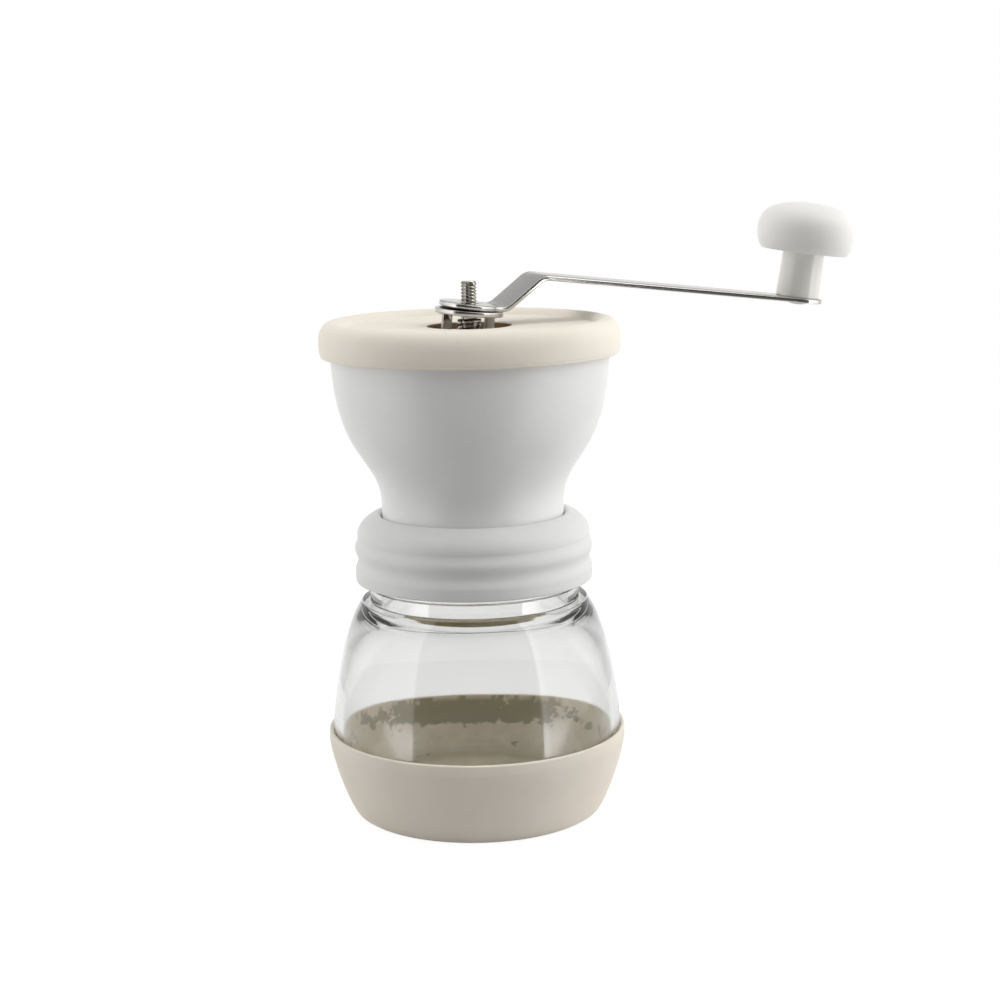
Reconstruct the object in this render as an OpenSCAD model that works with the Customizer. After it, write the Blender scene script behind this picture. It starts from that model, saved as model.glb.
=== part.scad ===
// Hand coffee mill: glass jar in a rubber boot, screw collar, hopper, ceramic burrs on a
// vertical spindle, grind nut with lock plate, flat crank arm and turning knob.
// Millimetres, +Z up, the jar stands on z = 0, the spindle is the Z axis, the crank points to +X.

/* [Boot] */
// Widest outside radius of the rubber boot
boot_r = 46.4; // [44:0.1:50]
// Height of the boot's rim above the ground
boot_h = 26.6; // [23:0.2:32]
// Radius of the flat foot
foot_r = 37.6; // [34:0.1:40]
// Thickness of the rubber wall
boot_wall = 1.35; // [1.2:0.05:2.4]
// Thickness of the rubber floor
boot_floor = 1.8; // [1.2:0.1:3]

/* [Jar] */
// Thickness of the glass wall
glass_wall = 2.8; // [2.2:0.1:3.6]
// Thickness of the glass floor
glass_floor = 4.2; // [3:0.1:6]
// Height of the neck, from the shoulder to the rim
neck_h = 19.5; // [18:0.1:22]
// Outside radius of the jar's neck
neck_r = 32.4; // [30:0.1:34]
// Thickness of the glass in the neck
neck_wall = 3.2; // [2.6:0.1:3.6]
// Height of the jar's rim, where the hopper's flange rests
rim_z = 87.9; // [84:0.1:88.5]

/* [Collar] */
// Room between the jar's neck and the collar, for the screw ridges
screw_gap = 1.85; // [1.4:0.05:2.4]
// How far the collar reaches down from the jar's rim
collar_drop = 14.5; // [13.5:0.1:16]
// Height of one soft rib
rib_pitch = 6.8; // [5:0.1:7]
// Depth of the soft grooves between the ribs
groove_d = 0.85; // [0.3:0.05:1.2]
// Thickness of the collar's wall under a groove
collar_wall = 1.6; // [1.2:0.1:1.8]
// Gap between the collar's bore and the hopper's neck
collar_gap = 0.25; // [0.15:0.05:0.4]

/* [Hopper] */
// Gap between the burr housing and the jar's neck
house_gap = 1.2; // [0.6:0.1:1.6]
// Outside radius of the hopper's rim
bowl_r = 42.6; // [41:0.1:44]
// Height of the bowl above the seam
bowl_h = 54; // [50:0.2:60]
// Thickness of the hopper's wall
bowl_wall = 2.2; // [1.8:0.1:2.6]
// Height of the seam between bowl and collar above the jar's rim
seam_rise = 6.5; // [5.5:0.1:7.5]

/* [Lid] */
// Thickness of the lid's side wall
lid_wall = 2.95; // [2.4:0.05:3.4]
// Gap between the lid's side wall and the hopper's rim
lid_fit = 0.45; // [0.3:0.05:0.6]
// How far the lid reaches down from the hopper's rim
lid_skirt = 5.5; // [4.5:0.1:7]
// Height of the lid's raised edge above the hopper's rim
lid_rise = 5.1; // [4.6:0.1:5.6]
// Depth of the recess inside the rim
recess_d = 2; // [1:0.1:2.4]
// Width of the lid's raised rim
lid_rim_w = 7.8; // [7:0.1:12]
// Radius of the hole for the spindle
lid_hole_r = 12.9; // [12:0.1:14]

/* [Burrs] */
// Gap between the fixed burr and its housing
burr_fit = 0.3; // [0.2:0.05:0.5]
// Number of cutting ridges on the turning burr
ridge_n = 9; // [7:1:12]
// Number of cutting ridges inside the fixed burr
tooth_n = 18; // [12:1:24]
// Radial gap between the ridges at the outlet
grind_gap = 0.6; // [0.4:0.05:1.2]
// Depth of the turning burr's ridges
ridge_d = 1.5; // [0.8:0.1:2]
// Depth of the fixed burr's ridges
tooth_d = 1; // [0.5:0.1:1.4]
// Turn of each ridge from bottom to top in degrees
ridge_twist = 70; // [30:5:90]

/* [Spindle] */
// Radius of the spindle
shaft_r = 3.75; // [3.5:0.05:4]
// Radius of the threaded ends
stud_r = 2.5; // [2.3:0.05:2.8]
// Distance of the two milled flats from the axis
flat_y = 2.1; // [1.9:0.05:2.2]
// Height of the shoulder under the upper end above the lid
shoulder_rise = 0.1; // [0:0.05:0.5]
// Length of the upper end above its shoulder
stud_l = 11.4; // [9:0.2:15]
// Running clearance of the spindle in its bushings
run_gap = 0.06; // [0.03:0.01:0.1]

/* [Adjuster] */
// Radius of the grind nut
nut_r = 10; // [9:0.1:11]
// Height of the grind nut
nut_h = 5.6; // [5:0.1:6]
// Number of slots in the grind nut
slot_n = 12; // [8:2:16]
// Play of the lock plate's legs in the slots
slot_gap = 0.5; // [0.4:0.05:0.6]

/* [Lock plate] */
// Radius of the lock plate
plate_r = 10.5; // [10:0.1:11]
// Thickness of the sheet steel of the plate and the arm
sheet_t = 1.5; // [1.3:0.1:1.8]
// Height of the lock plate's middle above the lid
plate_rise = 2.2; // [1.8:0.1:2.5]
// Sag of the loose plate in degrees
plate_tilt = 5.6; // [0:0.2:7]
// Direction in which plate and arm sag, in degrees from the arm
sag_turn = -25; // [-40:1:40]
// Width of one bent leg
leg_w = 3; // [2.6:0.1:3.8]

/* [Crank arm] */
// Distance from the spindle to the knob along the arm
arm_l = 117; // [90:0.5:130]
// Width of the arm
arm_w = 13.5; // [10:0.1:15]
// Radius of the round end on the spindle
hub_r = 9.2; // [8:0.1:10]
// Radius of the round end under the knob
eye_r = 8.1; // [7.4:0.1:9]
// Height by which the arm steps up
arm_rise = 10.7; // [8:0.1:14]
// Angle of the step in degrees
rise_angle = 44; // [30:1:55]
// Distance from the spindle to the first bend
bend_x = 9.9; // [9:0.1:12]
// Inside radius of both bends
bend_r = 4; // [2:0.1:6]
// Gap between the arm and the plate where the arm bends up
rest_gap = 0.06; // [0.05:0.01:0.2]
// Sag of the loose arm in degrees
arm_tilt = 7.8; // [0:0.2:8]
// Play of the plate and the arm on the spindle's end
key_gap = 0.3; // [0.25:0.05:0.4]

/* [Knob] */
// Widest radius of the knob's cap
cap_r = 16; // [13:0.1:18]
// Height of the knob's cap
cap_h = 16; // [13:0.1:18]
// Radius of the cap's flat underside
cap_foot_r = 13.6; // [11:0.1:14.5]
// Radius of the stem at its lower end
stem_r = 7.1; // [6.4:0.1:7.5]
// Height of the stem
stem_h = 14.6; // [12:0.1:18]
// Radius of the knob's pin
pin_r = 2.4; // [2:0.05:2.8]
// Radius of the pin's heads
head_r = 3.6; // [3.2:0.1:4]

/* [Hidden] */
$fn = 96;
steps = 18;

// Jar and boot share one line: the rubber lies on the glass.
jar_r = boot_r - boot_wall;
belly_z = boot_h * 0.891;
jar_foot_r = foot_r - boot_wall;
neck_in = neck_r - neck_wall;
neck_z = rim_z - neck_h;
shoulder_h = neck_z - belly_z;
corner_z = neck_z - shoulder_h * 0.139;
// The collar stands off the neck by the height of the screw ridges.
collar_in = neck_r + screw_gap;
collar_r = collar_in + collar_wall + groove_d;
collar_z = rim_z - collar_drop;
// Flange between the jar's rim and the collar's lip.
flange_h = 3;
flange_z = rim_z + flange_h;
flange_r = neck_r + 0.8;
// Burr housing below the flange, seat of the fixed burr above it.
waist_r = neck_in - house_gap;
waist_in = waist_r - bowl_wall;
burr_r = waist_in - burr_fit;
seam_z = rim_z + seam_rise;
bowl_z = seam_z + bowl_h;
house_z = collar_z + 0.8;
seat_z = flange_z + 0.1;
seat_h = 2;
seat_r = burr_r - 3.5;
ring_h = 2.6;
ring_z = house_z + 0.4;
burr_z = ring_z + ring_h;
burr_h = seat_z - burr_z;
// Turning burr.
cone_z = burr_z - 0.2;
cone_h = seat_z + seat_h + 2 - cone_z;
cone_r = burr_r * 0.7765;
cone_top_r = 8;
bore_r = 6;
washer_h = 1;
nut5_h = 2.6;
stack_z = cone_z - washer_h;
// Spider, column and bushings.
spider_z = seat_z + seat_h;
spider_h = 10;
column_r = 8.5;
column_z = spider_z + spider_h * 0.56;
column_drop = 5;
column_top = bowl_z - column_drop;
bush_r = 6;
bush_h = 8;
pocket_r = 6.8;
pocket_h = 12;
// Spring between two washers.
spring_r = 5.2;
wire_r = 0.5;
spring_z = cone_z + cone_h + washer_h;
spring_top = column_z + pocket_h - washer_h;
spring_n = 5;
// Lid, and the spindle's upper end with the plate over it.
lid_z = bowl_z - lid_skirt;
lid_top = bowl_z + lid_rise;
lid_r = bowl_r + lid_fit + lid_wall;
recess_r = lid_r - lid_rim_w;
recess_z = lid_top - recess_d;
lid_side_h = 4.4;
lid_roll = 4.6;
plug_h = 2.6;
plug_r = bowl_r - bowl_wall - 0.7;
plug_in = plug_r - 2.1;
shoulder_z = lid_top + shoulder_rise;
shaft_top = shoulder_z + stud_l;
plate_z = lid_top + plate_rise;
// Grind nut on its washer.
nut_z = column_top + washer_h;
slot_d = 3;
slot_in = shaft_r + 0.85;
leg_in = 5.6;
leg_end = nut_z + nut_h - slot_d + 0.1;
// Arm, in its own frame with the underside of the hub at 0. It lies on the plate where it sags most.
bend_m = bend_r + sheet_t / 2;
bend_t = bend_m * tan(rise_angle / 2);
sag = tan(arm_tilt) - tan(plate_tilt);
reach = max(hub_r, (bend_x - bend_t) * cos(sag_turn) + arm_w / 2 * abs(sin(sag_turn)));
hub_z = plate_z + sheet_t / 2 / cos(plate_tilt) + reach * abs(sag) + rest_gap;
top_x = bend_x + arm_rise / tan(rise_angle);
pin_head_h = 1;
stem_top_r = stem_r - 0.35;
spigot_r = 5.4;
spigot_h = 5;
flange_pocket_r = head_r + 0.4;
flange_pocket_h = 2.2;

function bez(p, n = steps) = [for (i = [0:n]) let (t = i / n, u = 1 - t)
    u * u * u * p[0] + 3 * u * u * t * p[1] + 3 * u * t * t * p[2] + t * t * t * p[3]];
function rev(v) = [for (i = [len(v) - 1:-1:0]) v[i]];

// Outside line of the glass from the foot to the neck.
jar_low = bez([[jar_foot_r, boot_floor], [jar_foot_r + 2.6, boot_floor + 1.2],
    [jar_r, boot_h * 0.62], [jar_r, belly_z]]);
jar_high = bez([[jar_r, belly_z], [jar_r - 0.1, belly_z + shoulder_h * 0.35],
    [neck_r + (jar_r - neck_r) * 0.642, neck_z - shoulder_h * 0.2], [neck_r + 2.9, neck_z - 1.7]]);
// Inside line of the glass.
in_r = jar_r - glass_wall;
in_z = boot_floor + glass_floor;
jar_in_low = bez([[jar_foot_r - 3.5, in_z], [jar_foot_r + 1.8, in_z + 0.3],
    [in_r, boot_h * 0.62], [in_r, belly_z]]);
jar_in_high = bez([[in_r, belly_z], [in_r - 0.1, belly_z + shoulder_h * 0.42],
    [neck_in + (in_r - neck_in) * 0.6, neck_z - shoulder_h * 0.25], [neck_in + 0.9, corner_z]]);
// Outside line of the boot from the foot to the rim.
boot_line = bez([[foot_r + 0.9, 0.5], [foot_r + 3.2, 3], [boot_r - 0.8, boot_h * 0.62], [boot_r, belly_z]]);
// Bowl of the hopper, outside and inside.
bowl_out = bez([[waist_r, seam_z + 1.6], [waist_r - 0.1, seam_z + bowl_h * 0.354],
    [bowl_r, seam_z + bowl_h * 0.283], [bowl_r, bowl_z]], 32);
bowl_in = bez([[waist_in, spider_z + spider_h * 0.4], [waist_in - 0.1, seam_z + bowl_h * 0.37],
    [bowl_r - bowl_wall, seam_z + bowl_h * 0.302], [bowl_r - bowl_wall, bowl_z]], 32);
// Soft ribs of the collar.
function rib(z) = collar_r - groove_d * (1 + cos(360 * (z - collar_z - rib_pitch) / rib_pitch)) / 2;
rib_end = collar_z + 2 * rib_pitch;
rib_line = [for (i = [0:24]) let (z = collar_z + rib_pitch / 2 + i * rib_pitch * 1.5 / 24) [rib(z), z]];
dome = bez([[rib(rib_end), rib_end], [rib(rib_end) + 0.5, rib_end + 3.6],
    [waist_r + 4.4, seam_z - 0.5], [waist_r + collar_gap + 0.3, seam_z]], 16);

module turn(points) rotate_extrude() polygon(points);

module rubber_boot()
    color("#b9b0a2")
    turn(concat([[0, 0], [foot_r, 0]], boot_line, [[boot_r - 0.3, boot_h - 0.7], [boot_r - 0.8, boot_h],
        [jar_r, boot_h], [jar_r, belly_z]], rev(jar_low), [[0, boot_floor]]));

module glass_jar()
    color("#dfe6e2", 0.4)
    turn(concat([[0, boot_floor]], jar_low, jar_high, [[neck_r + 2.5, neck_z - 1.15],
        [neck_r + 0.4, neck_z - 1.05], [neck_r, neck_z - 0.6], [neck_r, rim_z - 0.5],
        [neck_r - 0.5, rim_z], [neck_in + 0.5, rim_z], [neck_in, rim_z - 0.5],
        [neck_in, corner_z + 1.6], [neck_in + 0.2, corner_z + 0.6]], rev(jar_in_high),
        rev(jar_in_low), [[0, in_z]]));

module hopper()
    color("#e4e4e2")
    turn(concat([[waist_in, house_z], [waist_r, house_z], [waist_r, rim_z], [flange_r, rim_z],
        [flange_r, flange_z], [waist_r, flange_z]], bowl_out, rev(bowl_in), [[waist_in, spider_z],
        [seat_r, spider_z], [seat_r, seat_z], [waist_in, seat_z]]));

module screw_collar()
    color("#dededc")
    turn(concat([[collar_in, collar_z], [collar_r - 0.5, collar_z], [collar_r - 0.1, collar_z + 0.5]],
        rib_line, dome, [[waist_r + collar_gap, seam_z], [waist_r + collar_gap, flange_z],
        [collar_in, flange_z]]));

// Three-armed bridge that carries the spindle's column inside the hopper.
module bearing_spider()
    color("#d6d6d4")
    difference() {
        union() {
            difference() {
                translate([0, 0, spider_z]) cylinder(r = waist_in - 0.2, h = spider_h);
                translate([0, 0, spider_z - 1]) cylinder(r = waist_in - 2.6, h = spider_h + 2);
            }
            translate([0, 0, column_z]) cylinder(r = column_r, h = column_top - column_z);
            for (a = [90:120:330])
                rotate([0, 0, a])
                    translate([column_r - 1, -1.8, column_z])
                        cube([waist_in - column_r, 3.6, spider_z + spider_h - column_z]);
        }
        translate([0, 0, column_z - 1]) cylinder(r = pocket_r, h = pocket_h + 1);
        translate([0, 0, column_z]) cylinder(r = bush_r, h = pocket_h + bush_h);
        translate([0, 0, column_z]) cylinder(r = shaft_r + 0.9, h = column_top - column_z + 1);
        translate([0, 0, column_top - bush_h]) cylinder(r = bush_r, h = bush_h + 1);
    }

// Two equal plain bushings, pressed into the column.
module shaft_bushings()
    color("#b08d57")
    for (z = [column_z + pocket_h, column_top - bush_h])
        translate([0, 0, z])
            difference() {
                cylinder(r = bush_r, h = bush_h);
                translate([0, 0, -1]) cylinder(r = shaft_r + run_gap, h = bush_h + 2);
            }

// Ridged cone: rows of points from below, closed by a fan of triangles at each end.
module ridged(points, rows, cols)
    polyhedron(points = points, faces = concat(
        [for (j = [0:rows - 1]) for (i = [0:cols - 1]) for (s = [0, 1])
            let (a = j * cols + i, b = j * cols + (i + 1) % cols, c = a + cols, d = b + cols)
                s == 0 ? [a, d, b] : [a, c, d]],
        [for (i = [0:cols - 1]) [i, (i + 1) % cols, (rows + 1) * cols]],
        [for (i = [0:cols - 1]) [rows * cols + (i + 1) % cols, rows * cols + i, (rows + 1) * cols + 1]]));
function tooth(a, n, d) = let (p = a * n / 360, q = p - floor(p))
    d * (q < 0.75 ? q / 0.75 : (1 - q) / 0.25);

// Fixed burr: inner cone opens downwards, ridges run down it like a coarse thread.
fixed_r = cone_r + grind_gap;
throat_r = burr_r * 0.643;
burr_rows = 10;
burr_cols = tooth_n * 6;
burr_over = 0.2;
module outer_burr()
    color("#f2efe8")
    translate([0, 0, burr_z])
        difference() {
            cylinder(r = burr_r, h = burr_h);
            ridged(concat([for (j = [0:burr_rows]) for (i = [0:burr_cols - 1])
                let (h = j / burr_rows, a = 360 * i / burr_cols, b = a + ridge_twist * h / 2,
                    r = fixed_r - (fixed_r - throat_r) * h + tooth(a, tooth_n, tooth_d))
                    [r * cos(b), r * sin(b), h * (burr_h + 2 * burr_over) - burr_over]],
                [[0, 0, -burr_over], [0, 0, burr_h + burr_over]]), burr_rows, burr_cols);
        }

// Ring that holds the fixed burr in its housing from below.
module burr_ring()
    color("#d6d6d4")
    translate([0, 0, ring_z])
        difference() {
            cylinder(r = waist_in, h = ring_h);
            translate([0, 0, -1]) cylinder(r = fixed_r + tooth_d + 0.6, h = ring_h + 2);
        }

// Shallow tub-shaped lid with a raised soft rim and a hole for the spindle.
lid_side = bez([[lid_r - 0.8, lid_z], [lid_r - 0.3, lid_z + 0.3], [lid_r, lid_z + 2],
    [lid_r, lid_z + lid_side_h]], 10);
lid_edge = bez([[lid_r, lid_z + lid_side_h], [lid_r, lid_top - 1.2], [lid_r - 2.4, lid_top],
    [lid_r - lid_roll, lid_top]], 14);
lid_dip = bez([[lid_r - lid_roll, lid_top], [recess_r + 1.8, lid_top],
    [recess_r + 0.6, lid_top - recess_d / 2], [recess_r, recess_z]], 12);
module lid()
    color("#e6dfcf")
    turn(concat([[bowl_r + lid_fit, lid_z]], lid_side, lid_edge, lid_dip,
        [[lid_hole_r + 0.2, recess_z], [lid_hole_r, recess_z - 0.2], [lid_hole_r, bowl_z],
        [plug_in, bowl_z], [plug_in, bowl_z - plug_h], [plug_r, bowl_z - plug_h], [plug_r, bowl_z],
        [bowl_r + lid_fit, bowl_z]]));

module shaft()
    color("#c9c9c7")
    difference() {
        rotate_extrude()
            polygon([[0, stack_z - nut5_h - 0.4], [stud_r - 0.4, stack_z - nut5_h - 0.4],
                [stud_r, stack_z - nut5_h], [stud_r, stack_z], [stud_r, cone_z], [shaft_r, cone_z],
                [shaft_r, shoulder_z - 0.4], [shaft_r - 0.4, shoulder_z], [stud_r, shoulder_z],
                [stud_r, shaft_top - 0.5], [stud_r - 0.5, shaft_top], [0, shaft_top]]);
        for (a = [0, 180])
            rotate([0, 0, a])
                translate([-shaft_r - 1, flat_y, shoulder_z + 0.2])
                    cube([2 * shaft_r + 2, shaft_r, shaft_top - shoulder_z]);
    }

// Turning burr: cone with twisted cutting ridges, open bore for its carrier.
function cone_wall(h) = cone_top_r + (cone_r - cone_top_r) * pow(1 - h, 0.85);
cone_rows = 14;
cone_cols = ridge_n * 8;
module inner_burr()
    color("#f2efe8")
    translate([0, 0, cone_z])
        difference() {
            ridged(concat([for (j = [0:cone_rows]) for (i = [0:cone_cols - 1])
                let (h = j / cone_rows, a = 360 * i / cone_cols, b = a - ridge_twist * h,
                    r = cone_wall(h) - tooth(a, ridge_n, ridge_d * (1 - 0.5 * h)))
                    [r * cos(b), r * sin(b), h * cone_h]],
                [[0, 0, 0], [0, 0, cone_h]]), cone_rows, cone_cols);
            translate([0, 0, -1]) cylinder(r = bore_r, h = cone_h + 2);
        }

module burr_carrier()
    color("#4a4a4a")
    translate([0, 0, cone_z])
        difference() {
            cylinder(r = bore_r - 0.05, h = cone_h);
            translate([0, 0, -1]) cylinder(r = shaft_r, h = cone_h + 2);
        }

module burr_washer()
    color("#c9c9c7")
    translate([0, 0, stack_z])
        difference() {
            cylinder(r = bore_r + 4, h = washer_h);
            translate([0, 0, -1]) cylinder(r = stud_r + 0.1, h = washer_h + 2);
        }

module burr_nut()
    color("#c9c9c7")
    translate([0, 0, stack_z - nut5_h])
        difference() {
            cylinder(r = 4.6, h = nut5_h, $fn = 6);
            translate([0, 0, -1]) cylinder(r = stud_r, h = nut5_h + 2);
        }

// Two equal washers under and over the spring.
module spring_washers()
    color("#c9c9c7")
    for (z = [cone_z + cone_h, spring_top])
        translate([0, 0, z])
            difference() {
                cylinder(r = pocket_r - 0.5, h = washer_h);
                translate([0, 0, -1]) cylinder(r = shaft_r + 0.1, h = washer_h + 2);
            }

// Compression spring as one unbroken tube between the washers.
coil_ring = 16;
coil_side = 6;
coil_len = coil_ring * spring_n;
coil_low = spring_z + wire_r;
coil_high = spring_top - wire_r;
function coil_z(t) = coil_low + (coil_high - coil_low) * t;
echo(spring_self_gap = (coil_high - coil_low) / spring_n - 2 * wire_r);
module spring()
    color("#b5b5b3")
    polyhedron(points = [for (j = [0:coil_len]) for (i = [0:coil_side - 1])
            let (t = j / coil_len, a = 360 * spring_n * t, b = 360 * i / coil_side + 30,
                r = spring_r + wire_r * cos(b)) [r * cos(a), r * sin(a), coil_z(t) + wire_r * sin(b)]],
        faces = concat([for (j = [0:coil_len - 1]) for (i = [0:coil_side - 1]) for (s = [0, 1])
            let (a = j * coil_side + i, b = j * coil_side + (i + 1) % coil_side,
                c = a + coil_side, d = b + coil_side) s == 0 ? [a, d, b] : [a, c, d]],
            [[for (i = [0:coil_side - 1]) i]],
            [[for (i = [coil_side - 1:-1:0]) coil_len * coil_side + i]]));

module nut_washer()
    color("#c9c9c7")
    translate([0, 0, column_top])
        difference() {
            cylinder(r = column_r - 0.5, h = washer_h);
            translate([0, 0, -1]) cylinder(r = shaft_r + 0.1, h = washer_h + 2);
        }

// Grind nut with radial slots for the lock plate's legs.
module adjusting_nut()
    color("#b9bcbd")
    translate([0, 0, nut_z])
        difference() {
            rotate_extrude()
                polygon([[shaft_r, 0], [nut_r - 0.5, 0], [nut_r, 0.5], [nut_r, nut_h - 0.5],
                    [nut_r - 0.5, nut_h], [shaft_r, nut_h]]);
            for (i = [0:slot_n - 1])
                rotate([0, 0, 360 * i / slot_n])
                    translate([slot_in, -sheet_t / 2 - slot_gap, nut_h - slot_d])
                        cube([nut_r, sheet_t + 2 * slot_gap, slot_d + 1]);
        }

// Round hole with two flats that fits the spindle's milled end.
module key_hole(h)
    intersection() {
        translate([0, 0, -h]) cylinder(r = stud_r + key_gap, h = 3 * h);
        translate([-shaft_r - 1, -flat_y - key_gap, -h - 1])
            cube([2 * shaft_r + 2, 2 * flat_y + 2 * key_gap, 3 * h + 2]);
    }

// Lock plate: disc with two legs bent down into the nut's slots.
leg_sag = ((leg_in + leg_w) * cos(sag_turn) + sheet_t / 2 * abs(sin(sag_turn))) * sin(plate_tilt);
leg_h = (plate_z - sheet_t / 2 - leg_end - leg_sag) / cos(plate_tilt);
module lock_plate()
    color("#c4c4c2")
    translate([0, 0, plate_z])
        rotate([0, plate_tilt, sag_turn])
            rotate([0, 0, -sag_turn])
                difference() {
                    union() {
                        translate([0, 0, -sheet_t / 2]) cylinder(r = plate_r, h = sheet_t);
                        for (a = [0, 180])
                            rotate([0, 0, a])
                                translate([leg_in, -sheet_t / 2, -sheet_t / 2 - leg_h])
                                    cube([leg_w, sheet_t, leg_h + sheet_t / 2]);
                    }
                    key_hole(sheet_t);
                }

// Frame of the arm: origin on the spindle axis, on the underside of the hub.
module at_hub() translate([0, 0, hub_z]) rotate([0, arm_tilt, sag_turn]) rotate([0, 0, -sag_turn]) children();

// Side view of the bent strip: line through the middle of the sheet, offset to both faces.
function strip_line(o) = concat([[0, o]],
    [for (i = [0:6]) let (a = rise_angle * i / 6)
        [bend_x - bend_t + (bend_m - o) * sin(a), bend_m - (bend_m - o) * cos(a)]],
    [for (i = [6:-1:0]) let (a = rise_angle * i / 6)
        [top_x + bend_t - (bend_m + o) * sin(a), arm_rise - bend_m + (bend_m + o) * cos(a)]],
    [[arm_l, arm_rise + o]]);
module crank_arm()
    color("#c4c4c2")
    at_hub()
            difference() {
                union() {
                    intersection() {
                        cylinder(r = hub_r, h = sheet_t);
                        translate([-hub_r - 1, -hub_r - 1, -1])
                            cube([hub_r + 0.6 + bend_x - bend_t, 2 * hub_r + 2, sheet_t + 2]);
                    }
                    translate([0, arm_w / 2, sheet_t / 2])
                        rotate([90, 0, 0])
                            linear_extrude(height = arm_w)
                                polygon(concat(strip_line(-sheet_t / 2), rev(strip_line(sheet_t / 2))));
                    translate([arm_l, 0, arm_rise]) cylinder(r = eye_r, h = sheet_t);
                }
                key_hole(sheet_t);
                translate([arm_l, 0, arm_rise - 1]) cylinder(r = pin_r, h = sheet_t + 2);
            }

// Frame of the knob: origin on the underside of the arm's round end.
module at_eye() at_hub() translate([arm_l, 0, arm_rise]) children();

// Pin riveted into the arm, with a flange inside the knob that keeps the knob on.
pin_top = sheet_t + stem_h + spigot_h - 0.6;
flange_low = pin_top - 1.4;
module knob_pin()
    color("#c4c4c2")
    at_eye()
        rotate_extrude()
            polygon(concat([[0, -pin_head_h]],
                [for (i = [1:6]) [head_r * sin(15 * i), -pin_head_h * cos(15 * i)]],
                [[pin_r, 0], [pin_r, flange_low], [head_r, flange_low], [head_r, pin_top], [0, pin_top]]));

module knob_stem()
    color("#ecebe7")
    at_eye()
        difference() {
            rotate_extrude()
                polygon([[pin_r + run_gap, sheet_t], [stem_r - 0.4, sheet_t], [stem_r, sheet_t + 0.4],
                    [stem_top_r, sheet_t + stem_h], [spigot_r, sheet_t + stem_h],
                    [spigot_r, sheet_t + stem_h + spigot_h], [pin_r + run_gap, sheet_t + stem_h + spigot_h]]);
            translate([0, 0, flange_low - 0.3]) cylinder(r = flange_pocket_r, h = flange_pocket_h + spigot_h);
        }

cap_low = bez([[cap_foot_r, 0], [cap_foot_r + 1.6, 1.4], [cap_r, cap_h * 0.24], [cap_r, cap_h * 0.42]], 14);
cap_high = bez([[cap_r, cap_h * 0.42], [cap_r, cap_h * 0.78], [cap_r * 0.72, cap_h], [0, cap_h]], 22);
module knob_cap()
    color("#eeeeec")
    at_eye()
        translate([0, 0, sheet_t + stem_h])
            turn(concat([[spigot_r, 0]], cap_low, cap_high, [[0, spigot_h], [spigot_r, spigot_h]]));

rubber_boot();
glass_jar();
hopper();
screw_collar();
bearing_spider();
shaft_bushings();
outer_burr();
burr_ring();
lid();
shaft();
inner_burr();
burr_carrier();
burr_washer();
burr_nut();
spring_washers();
spring();
nut_washer();
adjusting_nut();
lock_plate();
crank_arm();
knob_pin();
knob_stem();
knob_cap();
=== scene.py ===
# %% [markdown]
# # A hand coffee mill, dressed over its CAD frame
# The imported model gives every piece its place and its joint. This lesson keeps those places and gives
# the pieces their smooth turned shapes, threads, soft edges and finishes. All sizes are in
# millimetres, as on a drawing, and are turned to metres when a mesh is made. Heights count from the
# table, and the spindle is the Z axis.

# %% Load the frame
import math

import bmesh
import bpy
from mathutils import Matrix, Vector, noise


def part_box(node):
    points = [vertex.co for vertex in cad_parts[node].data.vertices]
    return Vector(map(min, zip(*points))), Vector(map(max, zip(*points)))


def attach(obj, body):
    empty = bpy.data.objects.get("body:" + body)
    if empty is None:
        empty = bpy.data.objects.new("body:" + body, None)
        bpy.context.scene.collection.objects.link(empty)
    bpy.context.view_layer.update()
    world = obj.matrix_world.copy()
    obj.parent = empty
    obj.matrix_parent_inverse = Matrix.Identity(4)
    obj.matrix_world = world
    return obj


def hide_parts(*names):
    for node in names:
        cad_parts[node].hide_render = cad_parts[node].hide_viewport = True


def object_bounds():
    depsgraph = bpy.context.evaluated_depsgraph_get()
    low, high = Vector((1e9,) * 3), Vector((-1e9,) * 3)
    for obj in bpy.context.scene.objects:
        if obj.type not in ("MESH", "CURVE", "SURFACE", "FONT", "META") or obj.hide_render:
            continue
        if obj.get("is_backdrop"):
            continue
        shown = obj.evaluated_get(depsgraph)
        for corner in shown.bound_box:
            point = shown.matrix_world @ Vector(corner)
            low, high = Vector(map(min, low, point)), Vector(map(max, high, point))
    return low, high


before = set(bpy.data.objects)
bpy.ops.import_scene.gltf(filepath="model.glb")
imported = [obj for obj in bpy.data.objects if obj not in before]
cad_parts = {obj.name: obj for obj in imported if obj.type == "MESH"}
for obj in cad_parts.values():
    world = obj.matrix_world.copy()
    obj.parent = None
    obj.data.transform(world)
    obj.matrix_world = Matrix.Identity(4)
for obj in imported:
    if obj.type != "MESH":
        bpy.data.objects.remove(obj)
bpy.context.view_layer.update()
MM = 0.001

# %% [markdown]
# ## Helpers for finishes
# A finish could be clicked together in the shader editor. Written out, it can be read and changed in
# one place. Colours are the sRGB hex values that one would pick from a colour card, and one function
# turns them to the linear values that shaders work in. One more function adds a node, sets its values
# and links its inputs, so that each finish below reads like a short recipe.

# %% Colour and node helpers
def hex_linear(code):
    parts = [int(code[i:i + 2], 16) / 255 for i in (1, 3, 5)]
    return tuple(c / 12.92 if c <= 0.04045 else ((c + 0.055) / 1.055) ** 2.4 for c in parts) + (1.0,)


def add(tree, kind, settings=None, links=None):
    node = tree.nodes.new(kind)
    for key, value in (settings or {}).items():
        if isinstance(key, str) and hasattr(node, key):
            setattr(node, key, value)
        else:
            node.inputs[key].default_value = value
    for key, socket in (links or {}).items():
        tree.links.new(socket, node.inputs[key])
    return node


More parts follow.
